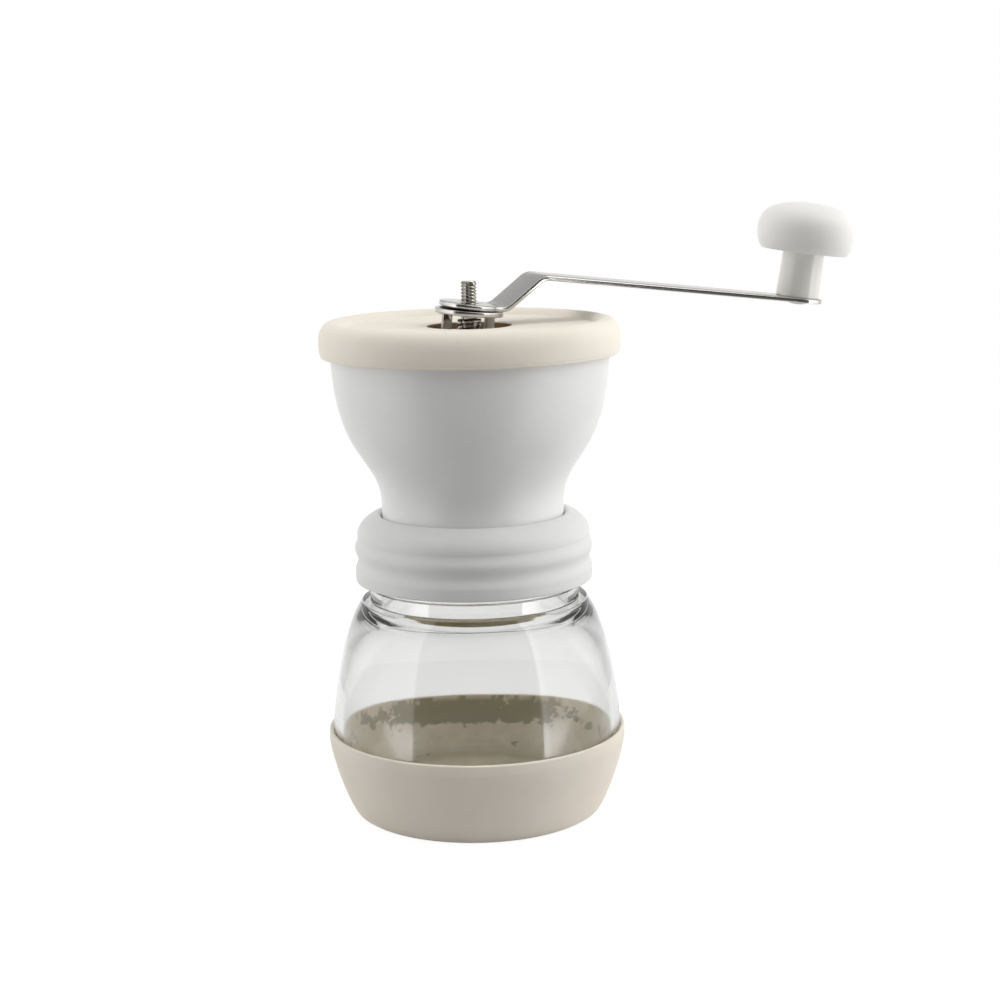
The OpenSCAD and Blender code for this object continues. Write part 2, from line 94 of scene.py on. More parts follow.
def new_material(name):
    material = bpy.data.materials.new(name)
    material.use_nodes = True
    tree = material.node_tree
    tree.nodes.clear()
    shader = add(tree, "ShaderNodeBsdfPrincipled")
    add(tree, "ShaderNodeOutputMaterial", links={"Surface": shader.outputs["BSDF"]})
    place = add(tree, "ShaderNodeTexCoord").outputs["Object"]
    return material, tree, shader, place


def two_tone(tree, cloud, low, high, shade, light):
    share = add(tree, "ShaderNodeMapRange", {"From Min": low, "From Max": high}, {"Value": cloud})
    return add(tree, "ShaderNodeMix", {"data_type": "RGBA", 6: hex_linear(shade), 7: hex_linear(light)},
               {0: share.outputs["Result"]}).outputs[2]


print("helpers ready")

# %% [markdown]
# ## Moulded plastics
# Hopper and collar are satin white ABS from a finely blasted mould: the eye sees a broad soft
# highlight and almost no grain. The knob's cap is a matt polypropylene, and its stem a glossier ivory
# ABS. A plain white shader would look like paper, so a slow cloud varies tone and gloss a little, and
# a fine bump breaks the highlight. The blasted grain is about 0.15 mm on the real mould and is drawn
# at 0.35 mm, because anything finer is lost in the picture.

# %% Plastic finishes
def moulded_plastic(name, light, shade, roughness, grain_mm, depth_mm):
    cloud_mm, gloss_spread = 22.0, 0.04
    material, tree, shader, place = new_material(name)
    cloud = add(tree, "ShaderNodeTexNoise", {"Scale": 1 / (cloud_mm * MM), "Detail": 3.0},
                {"Vector": place})
    tone = two_tone(tree, cloud.outputs["Fac"], 0.35, 0.65, shade, light)
    tree.links.new(tone, shader.inputs["Base Color"])
    grain = add(tree, "ShaderNodeTexNoise", {"Scale": 1 / (grain_mm * MM), "Detail": 2.0},
                {"Vector": place})
    bump = add(tree, "ShaderNodeBump", {"Strength": 0.6, "Distance": depth_mm * MM},
               {"Height": grain.outputs["Fac"]})
    tree.links.new(bump.outputs["Normal"], shader.inputs["Normal"])
    gloss = add(tree, "ShaderNodeMapRange",
                {"To Min": roughness - gloss_spread, "To Max": roughness + gloss_spread},
                {"Value": cloud.outputs["Fac"]})
    tree.links.new(gloss.outputs["Result"], shader.inputs["Roughness"])
    shader.inputs["IOR"].default_value = 1.5
    return material


# Satin bowl: broad soft highlight. The collar gets the same plastic a shade greyer, as painted shade.
SATIN_WHITE_ABS = moulded_plastic("satin_white_abs", "#EFEFEE", "#EBEBE9", 0.46, 0.35, 0.004)
COLLAR_ABS_SHADED = moulded_plastic("satin_white_abs_collar_painted_shade", "#E6E6E5", "#E2E2E0", 0.5, 0.35, 0.004)
# Matt cap that a hand can hold, and a stem with a clear vertical highlight.
MATT_WHITE_PP = moulded_plastic("matt_white_polypropylene", "#F8F7F4", "#F4F3F0", 0.6, 0.3, 0.006)
IVORY_ABS = moulded_plastic("gloss_ivory_abs", "#F6F4EF", "#F1EEE8", 0.22, 0.6, 0.001)
# Charcoal sleeve inside the burr.
DARK_NYLON = moulded_plastic("dark_nylon", "#4A4947", "#3F3E3D", 0.5, 0.4, 0.006)
# Fired ceramic is chalky: the same recipe with a rougher, warmer white.
ALUMINA = moulded_plastic("unglazed_alumina", "#F3F0E8", "#EAE6DC", 0.55, 0.25, 0.008)
print("plastics and ceramic ready")

# %% [markdown]
# ## Soft silicone rubber
# Lid and boot are smooth silicone with a dry, powdery face: no clear highlight, a faint pale bloom at
# the edges and a few dust specks, which such rubber always holds. Specks could be scattered as tiny
# meshes, but they have no height that shows, so they are a sparse cell pattern in the colour, with 9
# mm cells and dots of 0.3 to 0.5 mm. Sheen gives the bloom. The wall of the lid's hole is painted
# brown, as painted shade in the hole under the plate.

# %% Rubber finishes
def soft_silicone(name, light, shade, speck, roughness):
    cloud_mm, speck_mm, grain_mm, grain_depth_mm = 14.0, 9.0, 0.4, 0.012
    speck_core, speck_edge, speck_strength = 0.016, 0.03, 0.5
    material, tree, shader, place = new_material(name)
    cloud = add(tree, "ShaderNodeTexNoise", {"Scale": 1 / (cloud_mm * MM), "Detail": 4.0},
                {"Vector": place})
    base = two_tone(tree, cloud.outputs["Fac"], 0.3, 0.7, shade, light)
    cells = add(tree, "ShaderNodeTexVoronoi", {"Scale": 1 / (speck_mm * MM)}, {"Vector": place})
    dots = add(tree, "ShaderNodeMapRange",
               {"From Min": speck_core, "From Max": speck_edge, "To Min": speck_strength, "To Max": 0.0},
               {"Value": cells.outputs["Distance"]})
    mix = add(tree, "ShaderNodeMix", {"data_type": "RGBA", 7: hex_linear(speck)},
              {0: dots.outputs["Result"], 6: base})
    tree.links.new(mix.outputs[2], shader.inputs["Base Color"])
    grain = add(tree, "ShaderNodeTexNoise", {"Scale": 1 / (grain_mm * MM), "Detail": 3.0},
                {"Vector": place})
    bump = add(tree, "ShaderNodeBump", {"Strength": 0.5, "Distance": grain_depth_mm * MM},
               {"Height": grain.outputs["Fac"]})
    tree.links.new(bump.outputs["Normal"], shader.inputs["Normal"])
    shader.inputs["Roughness"].default_value = roughness
    shader.inputs["Specular IOR Level"].default_value = 0.3
    shader.inputs["Sheen Weight"].default_value = 0.08
    shader.inputs["Sheen Roughness"].default_value = 0.5
    return material


# Brown wall of the hole as painted shade, pale warm lid, and a boot that is a shade greyer with darker dust.
# Painted shade: the hole's wall is a darker brown copy of the cream silicone.
HOLE_SHADE_SILICONE = soft_silicone("hole_wall_painted_shade_silicone", "#B39468", "#A3845A", "#6E5638", 0.72)
CREAM_SILICONE = soft_silicone("cream_silicone", "#F7F0E4", "#F4ECDE", "#C4B49B", 0.72)
STONE_SILICONE = soft_silicone("stone_silicone", "#F2E9DD", "#EDE4D6", "#94856F", 0.78)
print("rubbers", CREAM_SILICONE.name, STONE_SILICONE.name, HOLE_SHADE_SILICONE.name)

# %% [markdown]
# ## Rubber pressed against glass
# Through the jar one sees the inner face of the boot. Where the silicone clings to the glass it looks
# dark olive, and where a film of air is left it stays pale. A noise texture could paint that, but the
# mesh has to know it too, because the rubber lies nearer to the glass there. So the boot's mesh
# carries a value named cling, and this finish reads it.

# %% Inner face of the boot
def clinging_silicone(name, apart_shade, apart_light, close):
    cloud_mm = 5.0
    material, tree, shader, place = new_material(name)
    cling = add(tree, "ShaderNodeAttribute", {"attribute_name": "cling"}).outputs["Fac"]
    cloud = add(tree, "ShaderNodeTexNoise", {"Scale": 1 / (cloud_mm * MM), "Detail": 4.0},
                {"Vector": place})
    pale = two_tone(tree, cloud.outputs["Fac"], 0.35, 0.65, apart_shade, apart_light)
    mix = add(tree, "ShaderNodeMix", {"data_type": "RGBA", 7: hex_linear(close)}, {0: cling, 6: pale})
    tree.links.new(mix.outputs[2], shader.inputs["Base Color"])
    shader.inputs["Roughness"].default_value = 0.55
    return material


CLINGING_SILICONE = clinging_silicone("silicone_against_glass", "#E6D6B4", "#EEDFC0", "#ADA178")
print("inner face", CLINGING_SILICONE.name)

# %% [markdown]
# ## Glass
# The jar is pressed soda-lime glass: clear on the flat, and green-grey where light runs a long way
# inside the wall. A tinted surface would colour all of it alike, so the tint is an absorption in the
# volume. Pressing leaves slow waves in the face, and a weak bump bends the reflections like them.

# %% Glass finish
def pressed_glass(name):
    wave_mm, wave_depth_mm = 11.0, 0.1
    material, tree, shader, place = new_material(name)
    shader.inputs["Base Color"].default_value = hex_linear("#FFFFFF")
    shader.inputs["Transmission Weight"].default_value = 1.0
    shader.inputs["IOR"].default_value = 1.5
    shader.inputs["Roughness"].default_value = 0.0
    wave = add(tree, "ShaderNodeTexNoise", {"Scale": 1 / (wave_mm * MM), "Detail": 1.0}, {"Vector": place})
    bump = add(tree, "ShaderNodeBump", {"Strength": 0.25, "Distance": wave_depth_mm * MM},
               {"Height": wave.outputs["Fac"]})
    tree.links.new(bump.outputs["Normal"], shader.inputs["Normal"])
    tint = add(tree, "ShaderNodeVolumeAbsorption", {"Color": hex_linear("#CED0CC"), "Density": 50.0})
    output = next(n for n in tree.nodes if n.type == "OUTPUT_MATERIAL")
    tree.links.new(tint.outputs["Volume"], output.inputs["Volume"])
    return material


CLEAR_GLASS = pressed_glass("pressed_soda_lime_glass")
print("glass", CLEAR_GLASS.name)

# %% [markdown]
# ## Metals
# Arm and plate are bright stainless sheet with a faint lengthwise grain from rolling. Spindle and nut
# are turned steel, the rivet's headed wire is duller and darker as painted shade, and the bushings are
# sintered bronze.
# Anisotropic shading could draw the grain, but it needs a tangent on every piece. A noise that is
# stretched along the working direction does without: it varies colour, gloss and a very shallow bump.
# Real grain is finer than a pixel and is drawn at about half a millimetre.

# %% Metal finishes
def worked_metal(name, light, shade, roughness, stretch, grain_mm, depth_mm):
    gloss_spread = 0.05
    material, tree, shader, place = new_material(name)
    turn = add(tree, "ShaderNodeMapping", {"Scale": stretch}, {"Vector": place})
    grain = add(tree, "ShaderNodeTexNoise", {"Scale": 1 / (grain_mm * MM), "Detail": 3.0},
                {"Vector": turn.outputs["Vector"]})
    tone = two_tone(tree, grain.outputs["Fac"], 0.3, 0.7, shade, light)
    tree.links.new(tone, shader.inputs["Base Color"])
    gloss = add(tree, "ShaderNodeMapRange",
                {"To Min": roughness - gloss_spread, "To Max": roughness + gloss_spread},
                {"Value": grain.outputs["Fac"]})
    tree.links.new(gloss.outputs["Result"], shader.inputs["Roughness"])
    bump = add(tree, "ShaderNodeBump", {"Strength": 0.4, "Distance": depth_mm * MM},
               {"Height": grain.outputs["Fac"]})
    tree.links.new(bump.outputs["Normal"], shader.inputs["Normal"])
    shader.inputs["Metallic"].default_value = 1.0
    return material


ALONG_ARM, ALONG_TURN, NO_GRAIN = (0.05, 1.0, 1.0), (1.0, 1.0, 6.0), (1.0, 1.0, 1.0)
# Sheet mirrors the room with a slight blur. The plate is the same sheet, and gets its painted shadow and
# painted leg reflection below.
SHEET_STEEL = worked_metal("rolled_stainless_sheet", "#C6C4C1", "#B8B6B3", 0.17, ALONG_ARM, 0.5, 0.002)
PLATE_SHEET_PAINTED = worked_metal("plate_sheet_painted_shade_and_reflection", "#C6C4C1", "#B8B6B3", 0.17, ALONG_ARM, 0.5, 0.002)
# Turned steel has small sharp glints, the rivet's wire is duller and darker as painted shade, and bronze is
# brown and almost matt.
TURNED_STEEL = worked_metal("turned_stainless", "#B4B0AA", "#A6A29C", 0.11, ALONG_TURN, 0.8, 0.001)
RIVET_STEEL_SHADED = worked_metal("rivet_steel_painted_shade", "#A19F9C", "#928F8C", 0.24, NO_GRAIN, 0.6, 0.001)
SPRING_STEEL = worked_metal("drawn_spring_wire", "#B3B2B0", "#A3A2A0", 0.28, NO_GRAIN, 0.4, 0.002)
BRONZE = worked_metal("sintered_bronze", "#B08A55", "#987547", 0.45, NO_GRAIN, 0.3, 0.01)
print("metals ready")

# %% [markdown]
# The plate turns with the arm lying on it. Its upper face is painted almost black under the arm, as
# painted shadow in the thin gap between arm and plate, and stays bright only in the ring that the arm
# leaves uncovered. Its legs were bent down after rolling; they get a rougher satin gloss, and their
# pale warm colour is a painted reflection. Two masks, one of radius and facing and one of height,
# blend these into the sheet's finish.

# %% Painted shadow and painted leg reflection on the plate
SHADE_IN, SHADE_OUT, LEG_TOP, LEG_FADE = 8.6, 9.4, 153.8, 0.6


def blend_painted_tone(tree, shader, mask, colour, roughness):
    toned = add(tree, "ShaderNodeMix", {"data_type": "RGBA", 7: hex_linear(colour)},
                {0: mask, 6: shader.inputs["Base Color"].links[0].from_socket})
    glossed = add(tree, "ShaderNodeMix", {"data_type": "FLOAT", 3: roughness},
                  {0: mask, 2: shader.inputs["Roughness"].links[0].from_socket})
    tree.links.new(toned.outputs[2], shader.inputs["Base Color"])
    tree.links.new(glossed.outputs[0], shader.inputs["Roughness"])


tree = PLATE_SHEET_PAINTED.node_tree
shader = next(n for n in tree.nodes if n.type == "BSDF_PRINCIPLED")
place = add(tree, "ShaderNodeTexCoord").outputs
flat = add(tree, "ShaderNodeVectorMath", {"operation": "MULTIPLY", 1: (1, 1, 0)}, {0: place["Object"]})
away = add(tree, "ShaderNodeVectorMath", {"operation": "LENGTH"}, {0: flat.outputs["Vector"]})
within = add(tree, "ShaderNodeMapRange",
             {"From Min": SHADE_IN * MM, "From Max": SHADE_OUT * MM, "To Min": 1.0, "To Max": 0.0},
             {"Value": away.outputs["Value"]})
facing_z = add(tree, "ShaderNodeSeparateXYZ", links={"Vector": place["Normal"]}).outputs["Z"]
face_up = add(tree, "ShaderNodeMapRange", {"From Min": 0.7, "From Max": 0.95}, {"Value": facing_z})
painted_shadow = add(tree, "ShaderNodeMath", {"operation": "MULTIPLY"},
            {0: within.outputs["Result"], 1: face_up.outputs["Result"]})
# Painted shadow: under the arm the plate's upward faces turn almost black.
blend_painted_tone(tree, shader, painted_shadow.outputs[0], "#1E1A17", 0.6)
# Painted reflection: below LEG_TOP the legs turn a pale warm colour, with a rougher satin gloss.
height = add(tree, "ShaderNodeSeparateXYZ", links={"Vector": place["Object"]}).outputs["Z"]
leg_reflection = add(tree, "ShaderNodeMapRange", {"From Min": LEG_TOP * MM, "From Max": (LEG_TOP - LEG_FADE) * MM},
          {"Value": height})
blend_painted_tone(tree, shader, leg_reflection.outputs["Result"], "#E4DFD6", 0.55)
print("plate with painted shade ready")

# %% [markdown]
# ## Turned pieces
# Boot, jar, hopper, collar, lid and knob are all bodies of revolution. A Screw modifier could spin a
# drawn curve, but a short loop over angles lets one wall be shifted by a rule as it is made, which
# boot and jar need. Each piece is one line of radius and height, with curves for its sweeps and small
# arcs on its corners. The lines are those of the CAD solids, so each piece follows its solid.

# %% Line helpers
def curve(p0, p1, p2, p3, steps=36):
    points = []
    for i in range(steps + 1):
        t = i / steps
        u = 1 - t
        points.append(tuple(u ** 3 * a + 3 * u * u * t * b + 3 * u * t * t * c + t ** 3 * d
                            for a, b, c, d in zip(p0, p1, p2, p3)))
    return points


def corner(before, point, after, radius, steps=5):
    at = Vector(point)
    back, on = Vector(before) - at, Vector(after) - at
    one, two = back.normalized(), on.normalized()
    half = one.angle(two) / 2
    reach = min(radius / math.tan(half), back.length * 0.5, on.length * 0.5)
    start, end = at + one * reach, at + two * reach
    return [tuple((1 - t) ** 2 * start + 2 * t * (1 - t) * at + t * t * end)
            for t in (i / steps for i in range(steps + 1))]


def rounded(points, radius):
    line = [points[0]]
    for before, point, after in zip(points, points[1:], points[2:]):
        line += corner(before, point, after, radius)
    return line + [points[-1]]


print("line helpers ready")

# %% [markdown]
# The lathe takes stretches of line, each with the number of its material. It can shift points by a
# rule, close the line to a ring where a piece has no pole, and lay the finished piece into another
# frame. Doubles are merged and normals recalculated, so faces point outwards and poles are closed.

# %% Lathe
def finish_mesh(name, bm, materials, sharp=32.0):
    bmesh.ops.remove_doubles(bm, verts=bm.verts, dist=1e-7)
    bmesh.ops.recalc_face_normals(bm, faces=bm.faces)
    mesh = bpy.data.meshes.new(name)
    bm.to_mesh(mesh)
    bm.free()
    for material in materials:
        mesh.materials.append(material)
    mesh.shade_smooth()
    mesh.set_sharp_from_angle(angle=math.radians(sharp))
    piece = bpy.data.objects.new(name, mesh)
    bpy.context.collection.objects.link(piece)
    print(name, len(mesh.polygons), "faces")
    return piece


def turned(name, parts, materials, sides=192, shift=None, place=None, ring=False):
    line = [point for points, slot in parts for point in points]
    zone = [slot for points, slot in parts for point in points]
    bm = bmesh.new()
    rows = []
    for r, z in line:
        if r < 1e-6:
            rows.append([bm.verts.new((0, 0, z * MM))] * sides)
            continue
        row = []
        for k in range(sides):
            a = 2 * math.pi * k / sides
            out = r + (shift(r, z, a) if shift else 0.0)
            row.append(bm.verts.new((out * math.cos(a) * MM, out * math.sin(a) * MM, z * MM)))
        rows.append(row)
    pairs = list(zip(rows, rows[1:], zone))
    if ring:
        pairs.append((rows[-1], rows[0], zone[-1]))
    for low, high, slot in pairs:
        for k in range(sides):
            corners = []
            for v in (low[k], low[(k + 1) % sides], high[(k + 1) % sides], high[k]):
                if v not in corners:
                    corners.append(v)
            if len(corners) > 2:
                bm.faces.new(corners).material_index = slot
    if place:
        bmesh.ops.transform(bm, matrix=place, verts=bm.verts)
    return finish_mesh(name, bm, materials)


print("lathe ready")

# %% [markdown]
# ## The boot
# A thick silicone cup that the jar is pushed into. Its outer face swells to the rim and its lip is a
# thin rolled edge. The inner face touches the glass in blotches, most of them in a band below the rim
# at the back, and stands off by a hair elsewhere. A cloud of noise decides where, leaning towards
# that band by height and by the angle round the spindle. The same rule presses the mesh inwards and
# fills the value that the finish reads.

# %% Boot lines
BOOT_R, BOOT_H, FOOT_R, BOOT_WALL, BOOT_FLOOR = 46.4, 26.6, 37.6, 1.35, 1.8
JAR_R, BELLY_Z, JAR_FOOT_R = BOOT_R - BOOT_WALL, BOOT_H * 0.891, FOOT_R - BOOT_WALL
SWELL_Z = BOOT_H * 0.62
FILM, PRESS, FOOT_ROUND, LIP_ROUND = 0.03, 0.06, 1.2, 0.7
boot_outer = curve((FOOT_R + 0.9, 0.5), (FOOT_R + 3.2, 3), (BOOT_R - 0.8, SWELL_Z), (BOOT_R, BELLY_Z))
jar_low_handles = ((JAR_FOOT_R, BOOT_FLOOR), (JAR_FOOT_R + 2.6, BOOT_FLOOR + 1.2), (JAR_R, SWELL_Z),
                   (JAR_R, BELLY_Z))
jar_low = curve(*jar_low_handles)
boot_lip = rounded([(BOOT_R, BELLY_Z), (BOOT_R - 0.1, BOOT_H), (JAR_R + FILM, BOOT_H),
                    (JAR_R + FILM, BELLY_Z)], LIP_ROUND)[1:]
boot_inner = [(r + FILM, z - FILM) for r, z in reversed(curve(*jar_low_handles, 90))]
print("boot", 2 * BOOT_R, "mm across,", BOOT_H, "mm high")

# %% Boot
BACK = math.radians(65.3)
BLOTCH_MM = 6.0
on_inner = {(round(r, 6), round(z, 6)) for r, z in boot_inner}


def ease(low, high, value):
    t = min(1.0, max(0.0, (value - low) / (high - low)))
    return t * t * (3 - 2 * t)


def cling(x, y, z):
    off = abs((math.atan2(y, x) - BACK + math.pi) % (2 * math.pi) - math.pi)
    # The band of contact begins 12 to 17.5 mm up and weakens again towards the rim.
    band = ease(12.0, 17.5, z) * (1 - 0.45 * ease(22.5, 26.0, z))
    # It leans to contact within half a radian of the back, and less than half as much beyond.
    lean = band * (0.7 - 0.43 * ease(0.45, 0.85, off)) - 0.36
    cloud = noise.fractal(Vector((x, y, z)) / BLOTCH_MM, 0.55, 2.1, 6)
    return ease(-0.03, 0.03, lean + 0.4 * cloud)


def press(r, z, a):
    if (round(r, 6), round(z, 6)) not in on_inner:
        return 0.0
    return -PRESS * cling(r * math.cos(a), r * math.sin(a), z)


foot = [(0, 0)] + corner((0, 0), (FOOT_R, 0), boot_outer[1], FOOT_ROUND)
boot = turned("boot", [(foot + boot_outer[1:] + boot_lip[:-2], 0),
                       (boot_lip[-2:] + boot_inner + [(0, BOOT_FLOOR - FILM)], 1)],
              [STONE_SILICONE, CLINGING_SILICONE], 384, press)
touch = boot.data.attributes.new("cling", "FLOAT", "POINT")
touch.data.foreach_set("value", [cling(*(v.co / MM)) for v in boot.data.vertices])
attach(boot, "jar")
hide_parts("rubber_boot")

# %% [markdown]
# ## The jar
# One wall of glass with a real thickness, because the dark lines at its edges and the bent view of
# the boot come from light that passes both faces. A single sheet with a glass shader would show
# neither. The shoulder ends in a small ledge. Above it the neck carries a low bead and a screw ridge
# that climbs one and a quarter turns and fades out at both ends, both raised by a rule of height and
# angle.

# %% Jar lines
GLASS_WALL, GLASS_FLOOR, NECK_Z, NECK_R, NECK_WALL, RIM_Z = 2.8, 4.2, 68.4, 32.4, 3.2, 87.9
NECK_IN, IN_R, IN_Z = NECK_R - NECK_WALL, JAR_R - GLASS_WALL, BOOT_FLOOR + GLASS_FLOOR
SHOULDER_H = NECK_Z - BELLY_Z
NECK_STEPS, RIM_ROUND, LEDGE_ROUND = 120, 1.2, 0.5
jar_high = curve((JAR_R, BELLY_Z), (JAR_R - 0.1, BELLY_Z + SHOULDER_H * 0.35),
                 (NECK_R + (JAR_R - NECK_R) * 0.642, NECK_Z - SHOULDER_H * 0.2),
                 (NECK_R + 2.9, NECK_Z - 1.7), 48)
jar_in_low = curve((JAR_FOOT_R - 3.5, IN_Z), (JAR_FOOT_R + 1.8, IN_Z + 0.3), (IN_R, SWELL_Z),
                   (IN_R, BELLY_Z))
jar_in_high = curve((IN_R, BELLY_Z), (IN_R - 0.1, BELLY_Z + SHOULDER_H * 0.42),
                    (NECK_IN + (IN_R - NECK_IN) * 0.6, NECK_Z - SHOULDER_H * 0.25),
                    (NECK_IN + 0.9, NECK_Z - 6.2), 48)
ledge = rounded([jar_high[-1], (NECK_R + 2.55, NECK_Z - 1.15), (NECK_R, NECK_Z - 1.05),
                 (NECK_R, NECK_Z + 1)], LEDGE_ROUND)
neck_out = [(NECK_R, NECK_Z + 1 + i * (RIM_Z - NECK_Z - 2.6) / NECK_STEPS) for i in range(NECK_STEPS + 1)]
neck_rim = rounded([neck_out[-1], (NECK_R, RIM_Z), (NECK_IN, RIM_Z), (NECK_IN, NECK_Z - 4.60)], RIM_ROUND)
neck_inside = curve((NECK_IN, NECK_Z - 4.60), (NECK_IN, NECK_Z - 5.40), (NECK_IN + 0.2, NECK_Z - 5.70),
                    jar_in_high[-1], 10)
print("jar", 2 * JAR_R, "mm across, neck", 2 * NECK_R)

# %% Jar
RIDGE_H, RIDGE_Z, RIDGE_PITCH, RIDGE_HALF, RIDGE_TURNS, RIDGE_FADE = 0.95, 75.5, 4.4, 1.3, 1.25, 0.08
BEAD_SHARE, BEAD_Z, BEAD_HALF = 0.85, 72.5, 1.1


def screw_ridge(r, z, a):
    if abs(r - NECK_R) > 0.01 or not BEAD_Z - 1.5 < z < RIM_Z - 1.4:
        return 0.0
    rise = BEAD_SHARE * max(0.0, 1 - ((z - BEAD_Z) / BEAD_HALF) ** 2)
    for lap in (0, 1):
        turn = a / (2 * math.pi) + lap
        if turn < RIDGE_TURNS:
            fade = min(1.0, turn / RIDGE_FADE, (RIDGE_TURNS - turn) / RIDGE_FADE)
            off = abs(z - RIDGE_Z - turn * RIDGE_PITCH) / RIDGE_HALF
            rise = max(rise, fade * max(0.0, 1 - off * off))
    return RIDGE_H * rise


jar = turned("jar", [([(0, BOOT_FLOOR)] + jar_low + jar_high[1:] + ledge[1:-1] + neck_out + neck_rim[1:]
                      + neck_inside[1:] + list(reversed(jar_in_high))[1:] + list(reversed(jar_in_low))[1:]
                      + [(0, IN_Z)], 0)], [CLEAR_GLASS], shift=screw_ridge)
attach(jar, "jar")
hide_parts("glass_jar")

# %% [markdown]
# ## Hopper
# One thin moulding: a wide bowl, a narrow waist and the burr housing hidden in the collar. A Solidify
# modifier could give a single surface its wall, but the two faces of this wall have curves of their
# own. So the line runs up one face and down the other and is closed to a ring. The flange that rests
# on the jar's rim and the inner seat of the burr are part of the same line.

# %% Hopper
COLLAR_R, COLLAR_Z, RIB_PITCH, GROOVE_D, COLLAR_WALL, COLLAR_GAP = 36.7, 73.4, 6.8, 0.85, 1.6, 0.25
WAIST_R, BOWL_R, BOWL_Z, BOWL_WALL, SEAM_Z = 28.0, 42.6, 148.4, 2.2, 94.4
BOWL_H, BOWL_IN = BOWL_Z - SEAM_Z, BOWL_R - BOWL_WALL
WAIST_IN, HOUSE_Z, FLANGE_Z, FLANGE_R = WAIST_R - BOWL_WALL, COLLAR_Z + 0.8, RIM_Z + 3, NECK_R + 0.8
SEAT_R, SEAT_Z, SPIDER_Z, RIM_EDGE, FLANGE_EDGE, SEAT_EDGE = 22.0, 91.0, 93.0, 0.6, 0.3, 0.2
bowl_out = curve((WAIST_R, SEAM_Z + 1.6), (WAIST_R - 0.1, SEAM_Z + BOWL_H * 0.354),
                 (BOWL_R, SEAM_Z + BOWL_H * 0.283), (BOWL_R, BOWL_Z - 0.8), 64)
bowl_in = curve((WAIST_IN, SPIDER_Z + 4), (WAIST_IN - 0.1, SEAM_Z + BOWL_H * 0.37),
                (BOWL_IN, SEAM_Z + BOWL_H * 0.302), (BOWL_IN, BOWL_Z - 0.8), 64)
bowl_rim = rounded([bowl_out[-1], (BOWL_R, BOWL_Z), (BOWL_IN, BOWL_Z), bowl_in[-1]], RIM_EDGE)
housing = rounded([(WAIST_IN, HOUSE_Z + 1), (WAIST_IN, HOUSE_Z), (WAIST_R, HOUSE_Z), (WAIST_R, RIM_Z),
                   (FLANGE_R, RIM_Z), (FLANGE_R, FLANGE_Z), (WAIST_R, FLANGE_Z), bowl_out[0]], FLANGE_EDGE)
burr_seat = rounded([bowl_in[0], (WAIST_IN, SPIDER_Z), (SEAT_R, SPIDER_Z), (SEAT_R, SEAT_Z),
                     (WAIST_IN, SEAT_Z), (WAIST_IN, SEAT_Z - 1)], SEAT_EDGE)
hopper_line = housing[:-1] + bowl_out + bowl_rim[1:-1] + list(reversed(bowl_in)) + burr_seat[1:]
hopper = turned("hopper_shell", [(hopper_line, 0)], [SATIN_WHITE_ABS], ring=True)
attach(hopper, "hopper")
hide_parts("hopper")

# %% [markdown]
# ## Collar
# A ring with soft ribs for the hand. Its domed shoulder rises to a crest and dips again just before
# the waist, and the shaded groove that this leaves is what the eye reads as two parts. The lathe
# makes a plain blank, and the ribs come in the next step.

# %% Collar blank
RIB_STEPS, DOME_STEPS, CREST_STEP, COLLAR_EDGE, BORE_EDGE = 60, 40, 37, 0.7, 0.25
collar_in = COLLAR_R - GROOVE_D - COLLAR_WALL
bore_r, groove_r = WAIST_R + COLLAR_GAP, COLLAR_R - GROOVE_D
rib_low, rib_end = COLLAR_Z + RIB_PITCH / 2, COLLAR_Z + 2 * RIB_PITCH
collar_foot = rounded([(collar_in, COLLAR_Z + 2), (collar_in, COLLAR_Z), (COLLAR_R - 0.05, COLLAR_Z),
                       (COLLAR_R, rib_low)], COLLAR_EDGE)
rib_face = [(COLLAR_R, rib_low + i * (rib_end - rib_low) / RIB_STEPS) for i in range(1, RIB_STEPS + 1)]
dome = curve((groove_r, rib_end), (groove_r + 0.5, rib_end + 3.6), (WAIST_R + 4.4, SEAM_Z - 0.5),
             (bore_r + 0.3, SEAM_Z), DOME_STEPS)[:CREST_STEP]
crest_r, crest_z = dome[-1]
dip = curve(dome[-1], (crest_r - 0.5, crest_z + 0.1), (WAIST_R + 0.6, SEAM_Z - 0.5),
            (bore_r, SEAM_Z - 2), 12)
bore = rounded([dip[-1], (bore_r, FLANGE_Z), (collar_in, FLANGE_Z), (collar_in, FLANGE_Z - 2)], BORE_EDGE)
collar_line = collar_foot + rib_face + dome[1:] + dip[1:] + bore[1:]
collar_blank = turned("collar_blank", [(collar_line, 0)], [COLLAR_ABS_SHADED], ring=True)

# %% [markdown]
# The ribs repeat along the collar, so Geometry Nodes press them in. The tree takes the blank and
# draws every point of its outer face towards the axis by a wave of its height. Face radius, pitch and
# depth are inputs of the tree, so the same tree would rib any turned piece. Three helpers serve this
# tree and the spring's: one starts a tree with named inputs, one ends it, and one runs it and keeps
# the result as a plain mesh.

# %% Node tree helpers
def new_tree(name, inputs):
    tree = bpy.data.node_groups.new(name, "GeometryNodeTree")
    face = tree.interface
    ids = {label: face.new_socket(label, in_out="INPUT", socket_type="NodeSocket" + kind).identifier
           for label, kind in inputs}
    face.new_socket("Geometry", in_out="OUTPUT", socket_type="NodeSocketGeometry")
    return tree, ids, add(tree, "NodeGroupInput").outputs


def end_tree(tree, shape, material):
    plain = add(tree, "GeometryNodeRealizeInstances", links={0: shape})
    paint = add(tree, "GeometryNodeSetMaterial", links={"Geometry": plain.outputs[0], "Material": material})
    add(tree, "NodeGroupOutput", links={0: paint.outputs["Geometry"]})


def made_by(tree, ids, values, mesh, name):
    piece = bpy.data.objects.new(name, mesh)
    bpy.context.collection.objects.link(piece)
    maker = piece.modifiers.new(tree.name, "NODES")
    maker.node_group = tree
    for label, value in values.items():
        maker[ids[label]] = value
    made = bpy.data.meshes.new_from_object(piece.evaluated_get(bpy.context.evaluated_depsgraph_get()))
    piece.modifiers.remove(maker)
    piece.data = made
    made.name = name
    print(name, len(made.polygons), "faces")
    return piece


print("node tree helpers ready")

